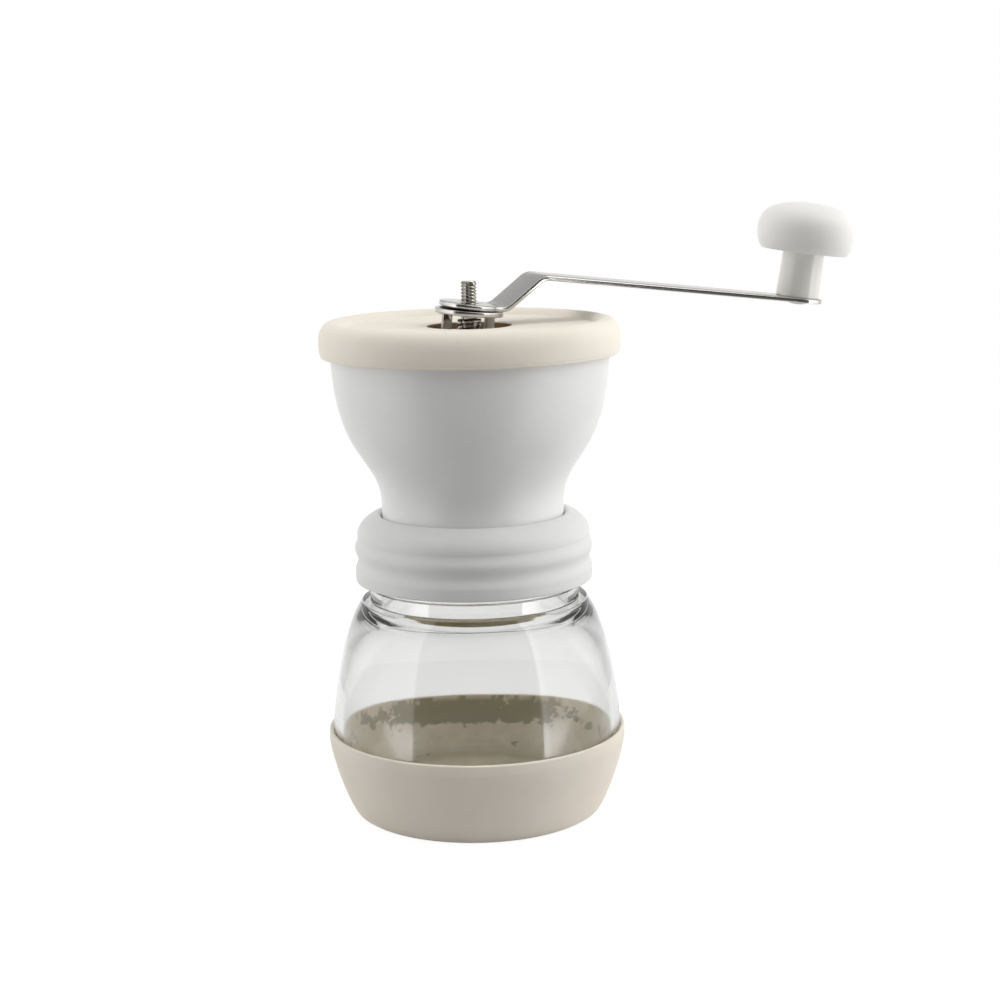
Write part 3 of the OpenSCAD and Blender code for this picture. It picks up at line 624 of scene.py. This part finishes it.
# %% Ribs by Geometry Nodes
ON_FACE_MM = 0.005
tree, ids, given = new_tree("pressed_ribs", (
    ("Geometry", "Geometry"), ("Face Radius", "Float"), ("First Groove", "Float"), ("Last Groove", "Float"),
    ("Pitch", "Float"), ("Depth", "Float"), ("Material", "Material")))
point = add(tree, "GeometryNodeInputPosition").outputs[0]
axes = add(tree, "ShaderNodeSeparateXYZ", links={0: point}).outputs
flat = add(tree, "ShaderNodeCombineXYZ", links={"X": axes["X"], "Y": axes["Y"]}).outputs[0]
radius = add(tree, "ShaderNodeVectorMath", {"operation": "LENGTH"}, {0: flat}).outputs["Value"]
on_face = add(tree, "ShaderNodeMath", {"operation": "COMPARE", 2: ON_FACE_MM * MM},
              {0: radius, 1: given["Face Radius"]})
past_end = add(tree, "ShaderNodeMath", {"operation": "GREATER_THAN"},
               {0: axes["Z"], 1: given["Last Groove"]})
chosen = add(tree, "ShaderNodeMath", {"operation": "SUBTRACT"},
             {0: on_face.outputs[0], 1: past_end.outputs[0]})
rise = add(tree, "ShaderNodeMath", {"operation": "SUBTRACT"}, {0: axes["Z"], 1: given["First Groove"]})
lap = add(tree, "ShaderNodeMath", {"operation": "DIVIDE"}, {0: rise.outputs[0], 1: given["Pitch"]})
angle = add(tree, "ShaderNodeMath", {"operation": "MULTIPLY", 1: 2 * math.pi}, {0: lap.outputs[0]})
swing = add(tree, "ShaderNodeMath", {"operation": "COSINE"}, {0: angle.outputs[0]})
share = add(tree, "ShaderNodeMath", {"operation": "MULTIPLY_ADD", 1: -0.5, 2: -0.5}, {0: swing.outputs[0]})
inward = add(tree, "ShaderNodeMath", {"operation": "MULTIPLY"}, {0: share.outputs[0], 1: given["Depth"]})
outside = add(tree, "ShaderNodeVectorMath", {"operation": "NORMALIZE"}, {0: flat})
step = add(tree, "ShaderNodeVectorMath", {"operation": "SCALE"},
           {0: outside.outputs[0], "Scale": inward.outputs[0]})
pressed = add(tree, "GeometryNodeSetPosition", links={
    "Geometry": given["Geometry"], "Selection": chosen.outputs[0], "Offset": step.outputs[0]})
end_tree(tree, pressed.outputs[0], given["Material"])

rib_values = {"Face Radius": COLLAR_R * MM, "First Groove": (COLLAR_Z + RIB_PITCH) * MM,
              "Last Groove": (rib_end + 2 * ON_FACE_MM) * MM, "Pitch": RIB_PITCH * MM,
              "Depth": GROOVE_D * MM, "Material": COLLAR_ABS_SHADED}
collar = made_by(tree, ids, rib_values, collar_blank.data, "collar")
bpy.data.objects.remove(collar_blank)
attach(collar, "hopper")
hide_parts("screw_collar")

# %% [markdown]
# ## Lid
# A soft tub that hugs the hopper's rim. Its raised edge is round outside and eases down to a flat
# recess, the round hole leaves room for the grind nut, and a hair line runs round just above the
# lower edge where the two halves of its mould met. Insets and bevels on a cylinder could come near,
# but the edge is one long sweep, which a curve gives at once. The hole's wall is its own stretch of
# the line, because it takes the brown silicone that paints the shade in the hole.

# %% Lid
LID_R, LID_Z, LID_TOP, RECESS_D, RECESS_R, HOLE_R = 46.0, 142.9, 153.5, 2.0, 38.2, 12.9
LID_FIT, PLUG_FIT, PLUG_WALL, PLUG_D, PARTING_Z, EDGE_W = 0.45, 0.7, 2.1, 2.6, 1.1, 4.6
HOLE_EDGE, UNDER_EDGE = 0.25, 0.4
floor_z, plug_z = LID_TOP - RECESS_D, BOWL_Z - PLUG_D
plug_out, plug_in = BOWL_IN - PLUG_FIT, BOWL_IN - PLUG_FIT - PLUG_WALL
lid_foot = curve((LID_R - 0.95, LID_Z), (LID_R - 0.6, LID_Z + 0.05), (LID_R - 0.4, LID_Z + 0.3),
                 (LID_R - 0.37, LID_Z + PARTING_Z), 8)
lid_side = curve((LID_R - 0.22, LID_Z + PARTING_Z + 0.1), (LID_R - 0.08, LID_Z + 2.0), (LID_R, LID_Z + 3.2),
                 (LID_R, LID_Z + 4.4), 12)
lid_edge = curve((LID_R, LID_Z + 4.4), (LID_R, LID_TOP - 1.2), (LID_R - 2.4, LID_TOP),
                 (LID_R - EDGE_W, LID_TOP))
lid_dip = curve((LID_R - EDGE_W, LID_TOP), (RECESS_R + 1.8, LID_TOP),
                (RECESS_R + 0.6, floor_z + RECESS_D / 2), (RECESS_R, floor_z))
hole_edge = corner(lid_dip[-1], (HOLE_R, floor_z), (HOLE_R, BOWL_Z), HOLE_EDGE)
lid_under = rounded([(HOLE_R, BOWL_Z + 1), (HOLE_R, BOWL_Z), (plug_in, BOWL_Z), (plug_in, plug_z),
                     (plug_out, plug_z), (plug_out, BOWL_Z), (BOWL_R + LID_FIT, BOWL_Z),
                     (BOWL_R + LID_FIT, LID_Z), lid_foot[0]], UNDER_EDGE)
lid_over = lid_foot + lid_side + lid_edge[1:] + lid_dip[1:] + hole_edge[:-1]
# The hole's wall takes the brown silicone, which is painted shade.
lid = turned("lid", [(lid_over, 0), (hole_edge[-1:], 1), (lid_under[1:-1], 0)],
             [CREAM_SILICONE, HOLE_SHADE_SILICONE], ring=True)
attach(lid, "lid")
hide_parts("lid")

# %% [markdown]
# ## Knob
# The stem turns on a pin that is riveted into the arm, and the cap sits on the stem's spigot.
# Modelling them aslant would make every number awkward, so both are turned upright and then laid into
# the arm's own frame, which sags by almost eight degrees because the arm lies loose on its plate.

# %% Frame of the arm's end
ARM_L, ARM_RISE, ARM_TILT, SAG_TURN, HUB_Z, SHEET_T = 117.0, 10.7, 7.8, -25.0, 156.90626, 1.5
sag = Matrix.Rotation(math.radians(SAG_TURN), 4, "Z")
eye = (Matrix.Translation((0, 0, HUB_Z * MM)) @ sag @ Matrix.Rotation(math.radians(ARM_TILT), 4, "Y")
       @ sag.inverted() @ Matrix.Translation((ARM_L * MM, 0, ARM_RISE * MM)))
print("arm's end at", [round(v / MM, 1) for v in eye.translation], "mm")

# %% Knob
CAP_R, CAP_H, CAP_FOOT_R, STEM_R, STEM_H, PIN_R, HEAD_R = 16.0, 16.0, 13.6, 7.1, 14.6, 2.4, 3.6
SPIGOT_R, SPIGOT_H, RUN_GAP, HEAD_GAP, STEM_TAPER, PIN_SHORT, HEAD_H = 5.4, 5.0, 0.06, 0.4, 0.35, 0.6, 1.7
CAP_EDGE, STEM_EDGE = 0.5, 0.45
cap_z, wide_z = SHEET_T + STEM_H, CAP_H * 0.42
spigot_z, pocket_r, pin_bore = cap_z + SPIGOT_H, HEAD_R + HEAD_GAP, PIN_R + RUN_GAP
pocket_z = spigot_z - PIN_SHORT - HEAD_H
cap_low = curve((CAP_FOOT_R, 0), (CAP_FOOT_R + 1.6, 1.4), (CAP_R, CAP_H * 0.24), (CAP_R, wide_z))
cap_high = curve((CAP_R, wide_z), (CAP_R, CAP_H * 0.78), (CAP_R * 0.72, CAP_H), (0, CAP_H), 48)
cap_line = ([(0, SPIGOT_H), (SPIGOT_R, SPIGOT_H), (SPIGOT_R, 0)]
            + corner((SPIGOT_R, 0), cap_low[0], cap_low[3], CAP_EDGE) + cap_low[4:] + cap_high[1:])
cap_raised = [(r, z + cap_z) for r, z in cap_line]
cap = turned("knob_cap_turned", [(cap_raised, 0)], [MATT_WHITE_PP], 128, place=eye)
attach(cap, "knob")
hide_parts("knob_cap")
stem_line = rounded([(pin_bore, SHEET_T + 3), (pin_bore, SHEET_T), (STEM_R, SHEET_T),
                     (STEM_R - STEM_TAPER, cap_z), (SPIGOT_R, cap_z), (SPIGOT_R, spigot_z),
                     (pocket_r, spigot_z), (pocket_r, pocket_z), (pin_bore, pocket_z),
                     (pin_bore, SHEET_T + 4)], STEM_EDGE)
stem = turned("knob_stem_turned", [(stem_line, 0)], [IVORY_ABS], 96, place=eye, ring=True)
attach(stem, "knob")
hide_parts("knob_stem")

# %% [markdown]
# ## Spindle with its threads
# A thread could be a swept triangle cut from a rod, but cuts leave a ragged mesh. A thread is a
# groove that climbs the shaft, so the radius at any point follows from its height and its angle
# alone. The surface is drawn as a fine net whose radius dips along that climbing line. The upper end
# has two milled flats, where the net is pressed flat.

# %% Spindle rows
SHAFT_R, STUD_R, FLAT_Y, SHOULDER_Z, SHAFT_TOP, SHAFT_LOW = 3.75, 2.5, 2.1, 153.6, 165.0, 73.0
STACK_Z, CONE_Z, WIDE_Z, LOW_STEP, WIDE_STEP, STUD_STEP = 76.0, 77.0, 143.0, 0.08, 0.1, 0.0625


def thread(radius, depth, pitch, low, high):
    def cut(z, a):
        if not low < z < high:
            return radius
        phase = (z / pitch - a / (2 * math.pi)) % 1.0
        groove = 1 - abs(2 * phase - 1)
        return radius - depth * min(1.0, (z - low) / pitch, (high - z) / pitch) * min(1.0, groove * 1.25)
    return cut


def plain(radius):
    return lambda z, a: radius


low_thread = thread(STUD_R, depth=0.3, pitch=0.8, low=SHAFT_LOW + 0.3, high=STACK_Z)
wide_thread = thread(SHAFT_R, depth=0.62, pitch=1.5, low=WIDE_Z, high=SHOULDER_Z - 0.2)
stud_thread = thread(STUD_R, depth=0.42, pitch=1.0, low=SHOULDER_Z + 0.6, high=SHAFT_TOP - 0.1)
rows = [(SHAFT_LOW, plain(STUD_R - 0.4))]
rows += [(SHAFT_LOW + 0.4 + i * LOW_STEP, low_thread) for i in range(45)]
rows += [(CONE_Z, plain(STUD_R)), (CONE_Z, plain(SHAFT_R)), (WIDE_Z - 0.1, plain(SHAFT_R))]
rows += [(WIDE_Z + i * WIDE_STEP, wide_thread) for i in range(104)]
rows += [(SHOULDER_Z - 0.15, plain(SHAFT_R - 0.15)), (SHOULDER_Z, plain(SHAFT_R - 0.4)),
         (SHOULDER_Z, plain(STUD_R))]
rows += [(SHOULDER_Z + 0.2 + i * STUD_STEP, stud_thread) for i in range(173)]
rows += [(SHAFT_TOP - 0.25, plain(STUD_R - 0.28)), (SHAFT_TOP, plain(STUD_R - 0.55))]
print("spindle", len(rows), "rows")

# %% Spindle
SPINDLE_SIDES = 72
bm = bmesh.new()
net = []
for z, radius in rows:
    row = []
    for k in range(SPINDLE_SIDES):
        a = 2 * math.pi * k / SPINDLE_SIDES
        r = radius(z, a)
        x, y = r * math.cos(a), r * math.sin(a)
        if z > SHOULDER_Z + 0.1:
            y = max(-FLAT_Y, min(FLAT_Y, y))
        row.append(bm.verts.new((x * MM, y * MM, z * MM)))
    net.append(row)
for low, high in zip(net, net[1:]):
    for k in range(SPINDLE_SIDES):
        after = (k + 1) % SPINDLE_SIDES
        bm.faces.new((low[k], low[after], high[after], high[k]))
bm.faces.new(list(reversed(net[0])))
bm.faces.new(net[-1])
spindle = finish_mesh("spindle", bm, [TURNED_STEEL], 40)
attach(spindle, "drive")
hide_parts("shaft")

# %% [markdown]
# ## Stamped and turned steel pieces
# Arm, plate, nut and washers already have their exact shape in the frame. What they lack is the small
# radius that stamping and tumbling leave on every edge, and that radius draws the bright lines along
# sheet steel. Drawing them anew would only copy numbers. So a copy of each solid is merged, its flat
# triangles are dissolved, and a Bevel modifier rounds its edges. The number in each call is that
# radius in millimetres. The hidden plastic and bronze pieces are treated alike.

# %% Softened copies of the solids
def softened(node, name, radius, material, body, sharp=40.0):
    bm = bmesh.new()
    bm.from_mesh(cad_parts[node].data)
    bmesh.ops.remove_doubles(bm, verts=bm.verts, dist=2e-6)
    bmesh.ops.dissolve_limit(bm, angle_limit=math.radians(0.4), verts=bm.verts, edges=bm.edges)
    mesh = bpy.data.meshes.new(name)
    bm.to_mesh(mesh)
    bm.free()
    rough = bpy.data.objects.new(name + "_rough", mesh)
    bpy.context.collection.objects.link(rough)
    bevel = rough.modifiers.new("edge", "BEVEL")
    bevel.width = radius * MM
    bevel.segments = 3
    bevel.limit_method = "ANGLE"
    bevel.angle_limit = math.radians(sharp)
    result = bpy.data.meshes.new_from_object(rough.evaluated_get(bpy.context.evaluated_depsgraph_get()))
    bpy.data.objects.remove(rough)
    result.name = name
    result.materials.clear()
    result.materials.append(material)
    result.shade_smooth()
    result.set_sharp_from_angle(angle=math.radians(sharp))
    piece = bpy.data.objects.new(name, result)
    bpy.context.collection.objects.link(piece)
    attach(piece, body)
    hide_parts(node)
    print(name, len(result.polygons), "faces")


print("softening ready")

# %% Steel, nylon, ABS and bronze pieces
softened("crank_arm", "arm_strip", 0.38, SHEET_STEEL, "arm")
# The plate takes the sheet with the painted shadow and painted leg reflection.
softened("lock_plate", "lock_disc", 0.3, PLATE_SHEET_PAINTED, "lock")
softened("adjusting_nut", "grind_nut", 0.2, TURNED_STEEL, "drive")
# The rivet takes the darker steel, which is painted shade on its head.
softened("knob_pin", "rivet_pin", 0.15, RIVET_STEEL_SHADED, "arm", 50.0)
for node, name in (("burr_washer", "washer_under_burr"), ("burr_nut", "nut_under_burr"),
                   ("nut_washer", "washer_under_grind_nut"), ("spring_washers", "washers_at_spring")):
    softened(node, name, 0.12, TURNED_STEEL, "drive")
softened("burr_carrier", "burr_sleeve", 0.2, DARK_NYLON, "drive")
softened("bearing_spider", "bearing_bridge", 0.4, SATIN_WHITE_ABS, "hopper")
softened("burr_ring", "burr_holder", 0.3, SATIN_WHITE_ABS, "hopper")
softened("shaft_bushings", "bushings", 0.25, BRONZE, "hopper")

# %% [markdown]
# ## Spring
# A coil follows a path. A Screw modifier could wind it, but Geometry Nodes keep its sizes as inputs:
# a spiral line with a round wire swept along it. Its height comes from the box of the CAD spring.

# %% Spring as a swept spiral
WIRE_R, COIL_R, COIL_TURNS, COIL_STEPS = 0.5, 5.2, 5.0, 36
tree, ids, given = new_tree("swept_spiral", (
    ("Radius", "Float"), ("Height", "Float"), ("Start Height", "Float"), ("Turns", "Float"),
    ("Wire Radius", "Float"), ("Steps per Turn", "Int"), ("Material", "Material")))
spiral = add(tree, "GeometryNodeCurveSpiral", links={
    "Resolution": given["Steps per Turn"], "Rotations": given["Turns"], "Start Radius": given["Radius"],
    "End Radius": given["Radius"], "Height": given["Height"]})
wire = add(tree, "GeometryNodeCurvePrimitiveCircle", {"Resolution": 12}, {"Radius": given["Wire Radius"]})
sweep = add(tree, "GeometryNodeCurveToMesh", {"Fill Caps": True},
            {"Curve": spiral.outputs["Curve"], "Profile Curve": wire.outputs["Curve"]})
rise = add(tree, "ShaderNodeCombineXYZ", links={"Z": given["Start Height"]})
lifted = add(tree, "GeometryNodeSetPosition",
             links={"Geometry": sweep.outputs["Mesh"], "Offset": rise.outputs[0]})
smooth = add(tree, "GeometryNodeSetShadeSmooth", links={0: lifted.outputs[0]})
end_tree(tree, smooth.outputs[0], given["Material"])

low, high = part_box("spring")
coil_values = {"Radius": COIL_R * MM, "Height": high[2] - low[2] - 2 * WIRE_R * MM,
               "Start Height": low[2] + WIRE_R * MM, "Turns": COIL_TURNS, "Wire Radius": WIRE_R * MM,
               "Steps per Turn": COIL_STEPS, "Material": SPRING_STEEL}
spring = made_by(tree, ids, coil_values, bpy.data.meshes.new("spring_start"), "spring_coil")
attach(spring, "drive")
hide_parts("spring")

# %% [markdown]
# ## Burrs
# The two ceramic burrs grind by their twisted ridges, which the CAD solids already have in full. So
# they keep their solids and get the dry, chalky face of fired alumina.

# %% Burrs
for name in ("outer_burr", "inner_burr"):
    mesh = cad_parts[name].data
    mesh.materials.clear()
    mesh.materials.append(ALUMINA)
    print(name, len(mesh.polygons), "faces")

# %% [markdown]
# ## Studio
# White things on white are shaped by what they mirror. The mill stands between a bright wall on its
# left and one on its right, with a paler wall behind and the dark room in front. The dark strip
# shades the bowl in its middle and draws the clear panel on the glass. Area lamps could do this, but
# their edges would have to be aimed one by one. A world that is painted by direction holds the whole
# plan in one list of degrees, counted from the camera's side to the right.

# %% Directions round the mill
VIEW_TURN = math.radians(24.7)
ahead = Vector((math.sin(VIEW_TURN), math.cos(VIEW_TURN), 0))
right = Vector((math.cos(VIEW_TURN), -math.sin(VIEW_TURN), 0))
scene = bpy.context.scene
world = bpy.data.worlds.new("tent")
scene.world = world
world.use_nodes = True
sky = world.node_tree
sky.nodes.clear()
look = add(sky, "ShaderNodeTexCoord").outputs["Generated"]
facing, sideways = (add(sky, "ShaderNodeVectorMath", {"operation": "DOT_PRODUCT", 1: tuple(way)},
                        {0: look}).outputs["Value"] for way in (-ahead, right))
bearing = add(sky, "ShaderNodeMath", {"operation": "ARCTAN2"}, {0: sideways, 1: facing})
turn = add(sky, "ShaderNodeMapRange", {"From Min": -math.pi, "From Max": math.pi},
           {"Value": bearing.outputs[0]})
up = add(sky, "ShaderNodeSeparateXYZ", links={"Vector": look}).outputs["Z"]
print("camera looks along", [round(v, 3) for v in ahead])

# %% [markdown]
# A colour ramp holds values up to 1, so each level is stored as a share of the brightest one and
# multiplied back later. Higher up, the wall behind is dimmer. The right wall has a narrow bright
# edge, which draws a streak on the glass. In front and below the horizon a glow stands for a lit
# table. Only mirror-like rays see it, so it brightens the edges of the steel and puts no more light
# on the plastics. A soft lamp high on the right lifts the lid's top.

# %% Tent walls, table glow and top lamp
PEAK, LOW_BACK, HIGH_BACK = 3.4, 1.0, 0.6
# Limits of the soft steps: sines of the height above the horizon, and cosines of angles to a direction.
SOFT_STEP = {"interpolation_type": "SMOOTHSTEP"}
DIM_FROM, DIM_BY, TABLE_FROM, TABLE_BY, FRONT_FROM, FRONT_BY = 0.12, 0.3, -0.03, -0.13, 0.1, 0.45
LAMP_EDGE, LAMP_CORE, LAMP_LEVEL, TABLE_GAIN = 0.78, 0.9, 0.48, 5.5
LAMP_TURN, LAMP_RISE = math.radians(48), math.radians(55)


def round_wall(stops):
    wall = add(sky, "ShaderNodeValToRGB", links={"Fac": turn.outputs["Result"]})
    band = wall.color_ramp
    for degrees, level in stops:
        at = (degrees + 180) / 360
        stop = band.elements[0] if at == 0 else band.elements[-1] if at == 1 else band.elements.new(at)
        stop.color = (level / PEAK, level / PEAK, level / PEAK, 1)
    return wall.outputs["Color"]


def tent_wall(back):
    left_wall = ((-100, 1.35), (-70, 1.6), (-52, 1.9), (-50, 0.07))
    right_wall = ((53, 0.07), (55, 3.2), (58, 3.0), (61, 2.1), (100, 1.9))
    return round_wall(((-180, back), (-122, back)) + left_wall + right_wall + ((122, back), (180, back)))


above = add(sky, "ShaderNodeMapRange", {**SOFT_STEP, "From Min": DIM_FROM, "From Max": DIM_BY},
            {"Value": up})
walls = add(sky, "ShaderNodeMix", {"data_type": "RGBA"},
            {0: above.outputs["Result"], 6: tent_wall(LOW_BACK), 7: tent_wall(HIGH_BACK)})
rays = add(sky, "ShaderNodeLightPath").outputs
table = add(sky, "ShaderNodeMapRange",
            {**SOFT_STEP, "From Min": TABLE_FROM, "From Max": TABLE_BY, "To Max": TABLE_GAIN}, {"Value": up})
in_front = add(sky, "ShaderNodeMapRange", {**SOFT_STEP, "From Min": FRONT_FROM, "From Max": FRONT_BY},
               {"Value": facing})
shown = add(sky, "ShaderNodeMath", {"operation": "MULTIPLY"},
            {0: rays["Is Glossy Ray"], 1: in_front.outputs["Result"]})
gain = add(sky, "ShaderNodeMath", {"operation": "MULTIPLY_ADD", 2: PEAK},
           {0: table.outputs["Result"], 1: shown.outputs[0]})
tent = add(sky, "ShaderNodeMath", {"operation": "MULTIPLY"}, {0: walls.outputs[2], 1: gain.outputs[0]})
aim = (right * math.sin(LAMP_TURN) - ahead * math.cos(LAMP_TURN)) * math.cos(LAMP_RISE)
aim.z = math.sin(LAMP_RISE)
to_lamp = add(sky, "ShaderNodeVectorMath", {"operation": "DOT_PRODUCT", 1: tuple(aim)}, {0: look})
lamp = add(sky, "ShaderNodeMapRange",
           {**SOFT_STEP, "From Min": LAMP_EDGE, "From Max": LAMP_CORE, "To Max": LAMP_LEVEL},
           {"Value": to_lamp.outputs["Value"]})
room = add(sky, "ShaderNodeMath", {"operation": "ADD"}, {0: tent.outputs[0], 1: lamp.outputs["Result"]})
print("tent walls and lamp ready")

# %% [markdown]
# The camera sees the background as pure white. Glass shows a background too: rays that pass through
# it see a white backdrop with greyer sides, which draws the grey edges of the jar. Light that reaches
# the rubber inside the jar has to come through the glass as well, so rays that have met rubber first
# see the room, filled up a little.

# %% World output
WHITE, FILL_GAIN, FILL_LEVEL = (1, 1, 1, 1), 1.3, 1.7
left_half = ((-180, 0.95), (-164, 0.95), (-154, 0.66), (-140, 0.66), (-124, 1.1), (-60, 1.1), (-45, 0.6))
right_half = tuple((-degrees, level) for degrees, level in reversed(left_half))
behind = add(sky, "ShaderNodeMath", {"operation": "MULTIPLY", 1: PEAK},
             {0: round_wall(left_half + right_half)})
fill = add(sky, "ShaderNodeMath", {"operation": "MULTIPLY_ADD", 1: FILL_GAIN, 2: FILL_LEVEL},
           {0: room.outputs[0]})
lit, seen_through, filled = (
    add(sky, "ShaderNodeBackground", {"Color": WHITE}, {"Strength": level.outputs[0]})
    for level in (room, behind, fill))
white = add(sky, "ShaderNodeBackground", {"Color": WHITE, "Strength": 1.0})
first = add(sky, "ShaderNodeMath", {"operation": "LESS_THAN", 1: 0.5}, {0: rays["Diffuse Depth"]})
glazed = add(sky, "ShaderNodeMixShader",
             links={0: first.outputs[0], 1: filled.outputs[0], 2: seen_through.outputs[0]})
through = add(sky, "ShaderNodeMixShader",
              links={0: rays["Is Transmission Ray"], 1: lit.outputs[0], 2: glazed.outputs[0]})
blend = add(sky, "ShaderNodeMixShader",
            links={0: rays["Is Camera Ray"], 1: through.outputs[0], 2: white.outputs[0]})
add(sky, "ShaderNodeOutputWorld", links={"Surface": blend.outputs[0]})
print("world ready")

# %% [markdown]
# ## Floor
# A round sheet of white paper. A shadow catcher would need a second step to put the shadow on white,
# so one finish answers each kind of ray instead. Camera and glass see white with the mill's soft
# shadow. What lights the boot from below is greyer towards the camera. Steel sees the paper near the
# mill, and further out in front it sees past it to the table's glow.

# %% Floor
FLOOR_R, GREY_BY, CLEAR_FROM, CLEAR_BY, OPEN_GLOW, GLASS_GLOW = 0.4, 0.09, 0.06, 0.1, 0.86, 0.66
bm = bmesh.new()
bmesh.ops.create_circle(bm, cap_ends=True, segments=96, radius=FLOOR_R)
floor_mesh = bpy.data.meshes.new("floor")
bm.to_mesh(floor_mesh)
bm.free()
floor = bpy.data.objects.new("floor", floor_mesh)
bpy.context.collection.objects.link(floor)
floor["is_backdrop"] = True
paper = bpy.data.materials.new("white_paper")
paper.use_nodes = True
sheet = paper.node_tree
sheet.nodes.clear()
floor_mesh.materials.append(paper)
print("floor", FLOOR_R, "m in radius")

# %% Paper finish
place = add(sheet, "ShaderNodeTexCoord").outputs["Object"]
rays = add(sheet, "ShaderNodeLightPath").outputs
nearer = add(sheet, "ShaderNodeVectorMath", {"operation": "DOT_PRODUCT", 1: tuple(-ahead)},
             {0: place}).outputs["Value"]
tone = two_tone(sheet, nearer, 0.0, GREY_BY, "#ECECEC", "#A0A0A0")
dull = add(sheet, "ShaderNodeBsdfDiffuse", links={"Color": tone})
faint = add(sheet, "ShaderNodeBsdfDiffuse", {"Color": hex_linear("#8A8A8A")})
level = add(sheet, "ShaderNodeMapRange", {"To Min": OPEN_GLOW, "To Max": GLASS_GLOW},
            {"Value": rays["Is Transmission Ray"]})
glow = add(sheet, "ShaderNodeEmission", {"Color": WHITE}, {"Strength": level.outputs["Result"]})
bright = add(sheet, "ShaderNodeAddShader", links={0: faint.outputs[0], 1: glow.outputs[0]})
seen = add(sheet, "ShaderNodeMath", {"operation": "MAXIMUM"},
           {0: rays["Is Camera Ray"], 1: rays["Is Transmission Ray"]})
far_off = add(sheet, "ShaderNodeMapRange", {"From Min": CLEAR_FROM, "From Max": CLEAR_BY},
              {"Value": nearer})
open_air = add(sheet, "ShaderNodeBsdfTransparent")
shine = add(sheet, "ShaderNodeMixShader",
            links={0: far_off.outputs["Result"], 1: bright.outputs[0], 2: open_air.outputs[0]})
matt = add(sheet, "ShaderNodeMixShader",
           links={0: seen.outputs[0], 1: dull.outputs[0], 2: bright.outputs[0]})
blend = add(sheet, "ShaderNodeMixShader",
            links={0: rays["Is Glossy Ray"], 1: matt.outputs[0], 2: shine.outputs[0]})
add(sheet, "ShaderNodeOutputMaterial", links={"Surface": blend.outputs[0]})
print("paper ready")

# %% [markdown]
# ## Camera
# The photograph's view was worked out from the ellipses of boot, collar and lid: a short telephoto
# lens, a little above the lid, pitched down by ten degrees and turned by one degree about its own
# line of sight. Light in a thick glass wall is reflected many times before it leaves, so the paths
# may be longer than usual.

# %% Camera
PHOTO_PX, FOCAL_PX, SENSOR_MM = 1000.0, 2019.64, 36.0
BACK_M, SIDE_M, UP_M, PITCH_DOWN, ROLL, LIGHT_BOUNCES = 0.6141, 0.0084, 0.20736, 10.155, 1.01, 32
lens = bpy.data.cameras.new("camera")
lens.sensor_width = SENSOR_MM
lens.lens = FOCAL_PX * SENSOR_MM / PHOTO_PX
lens.clip_start = 0.01
camera = bpy.data.objects.new("camera", lens)
bpy.context.collection.objects.link(camera)
spot = ahead * -BACK_M + right * SIDE_M + Vector((0, 0, UP_M))
camera.matrix_world = (Matrix.Translation(spot) @ Matrix.Rotation(-VIEW_TURN, 4, "Z")
                       @ Matrix.Rotation(math.radians(90 - PITCH_DOWN), 4, "X")
                       @ Matrix.Rotation(math.radians(-ROLL), 4, "Z"))
scene.camera = camera
scene.view_settings.view_transform = "Standard"
scene.cycles.max_bounces = LIGHT_BOUNCES
scene.cycles.transmission_bounces = LIGHT_BOUNCES
print("camera at", [round(v, 4) for v in spot])

# %% [markdown]
# ## Visual box
# The box of the dressed model is printed.

# %% Finish
low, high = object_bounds()
print("visual box", [round(float(v), 4) for v in low], [round(float(v), 4) for v in high])
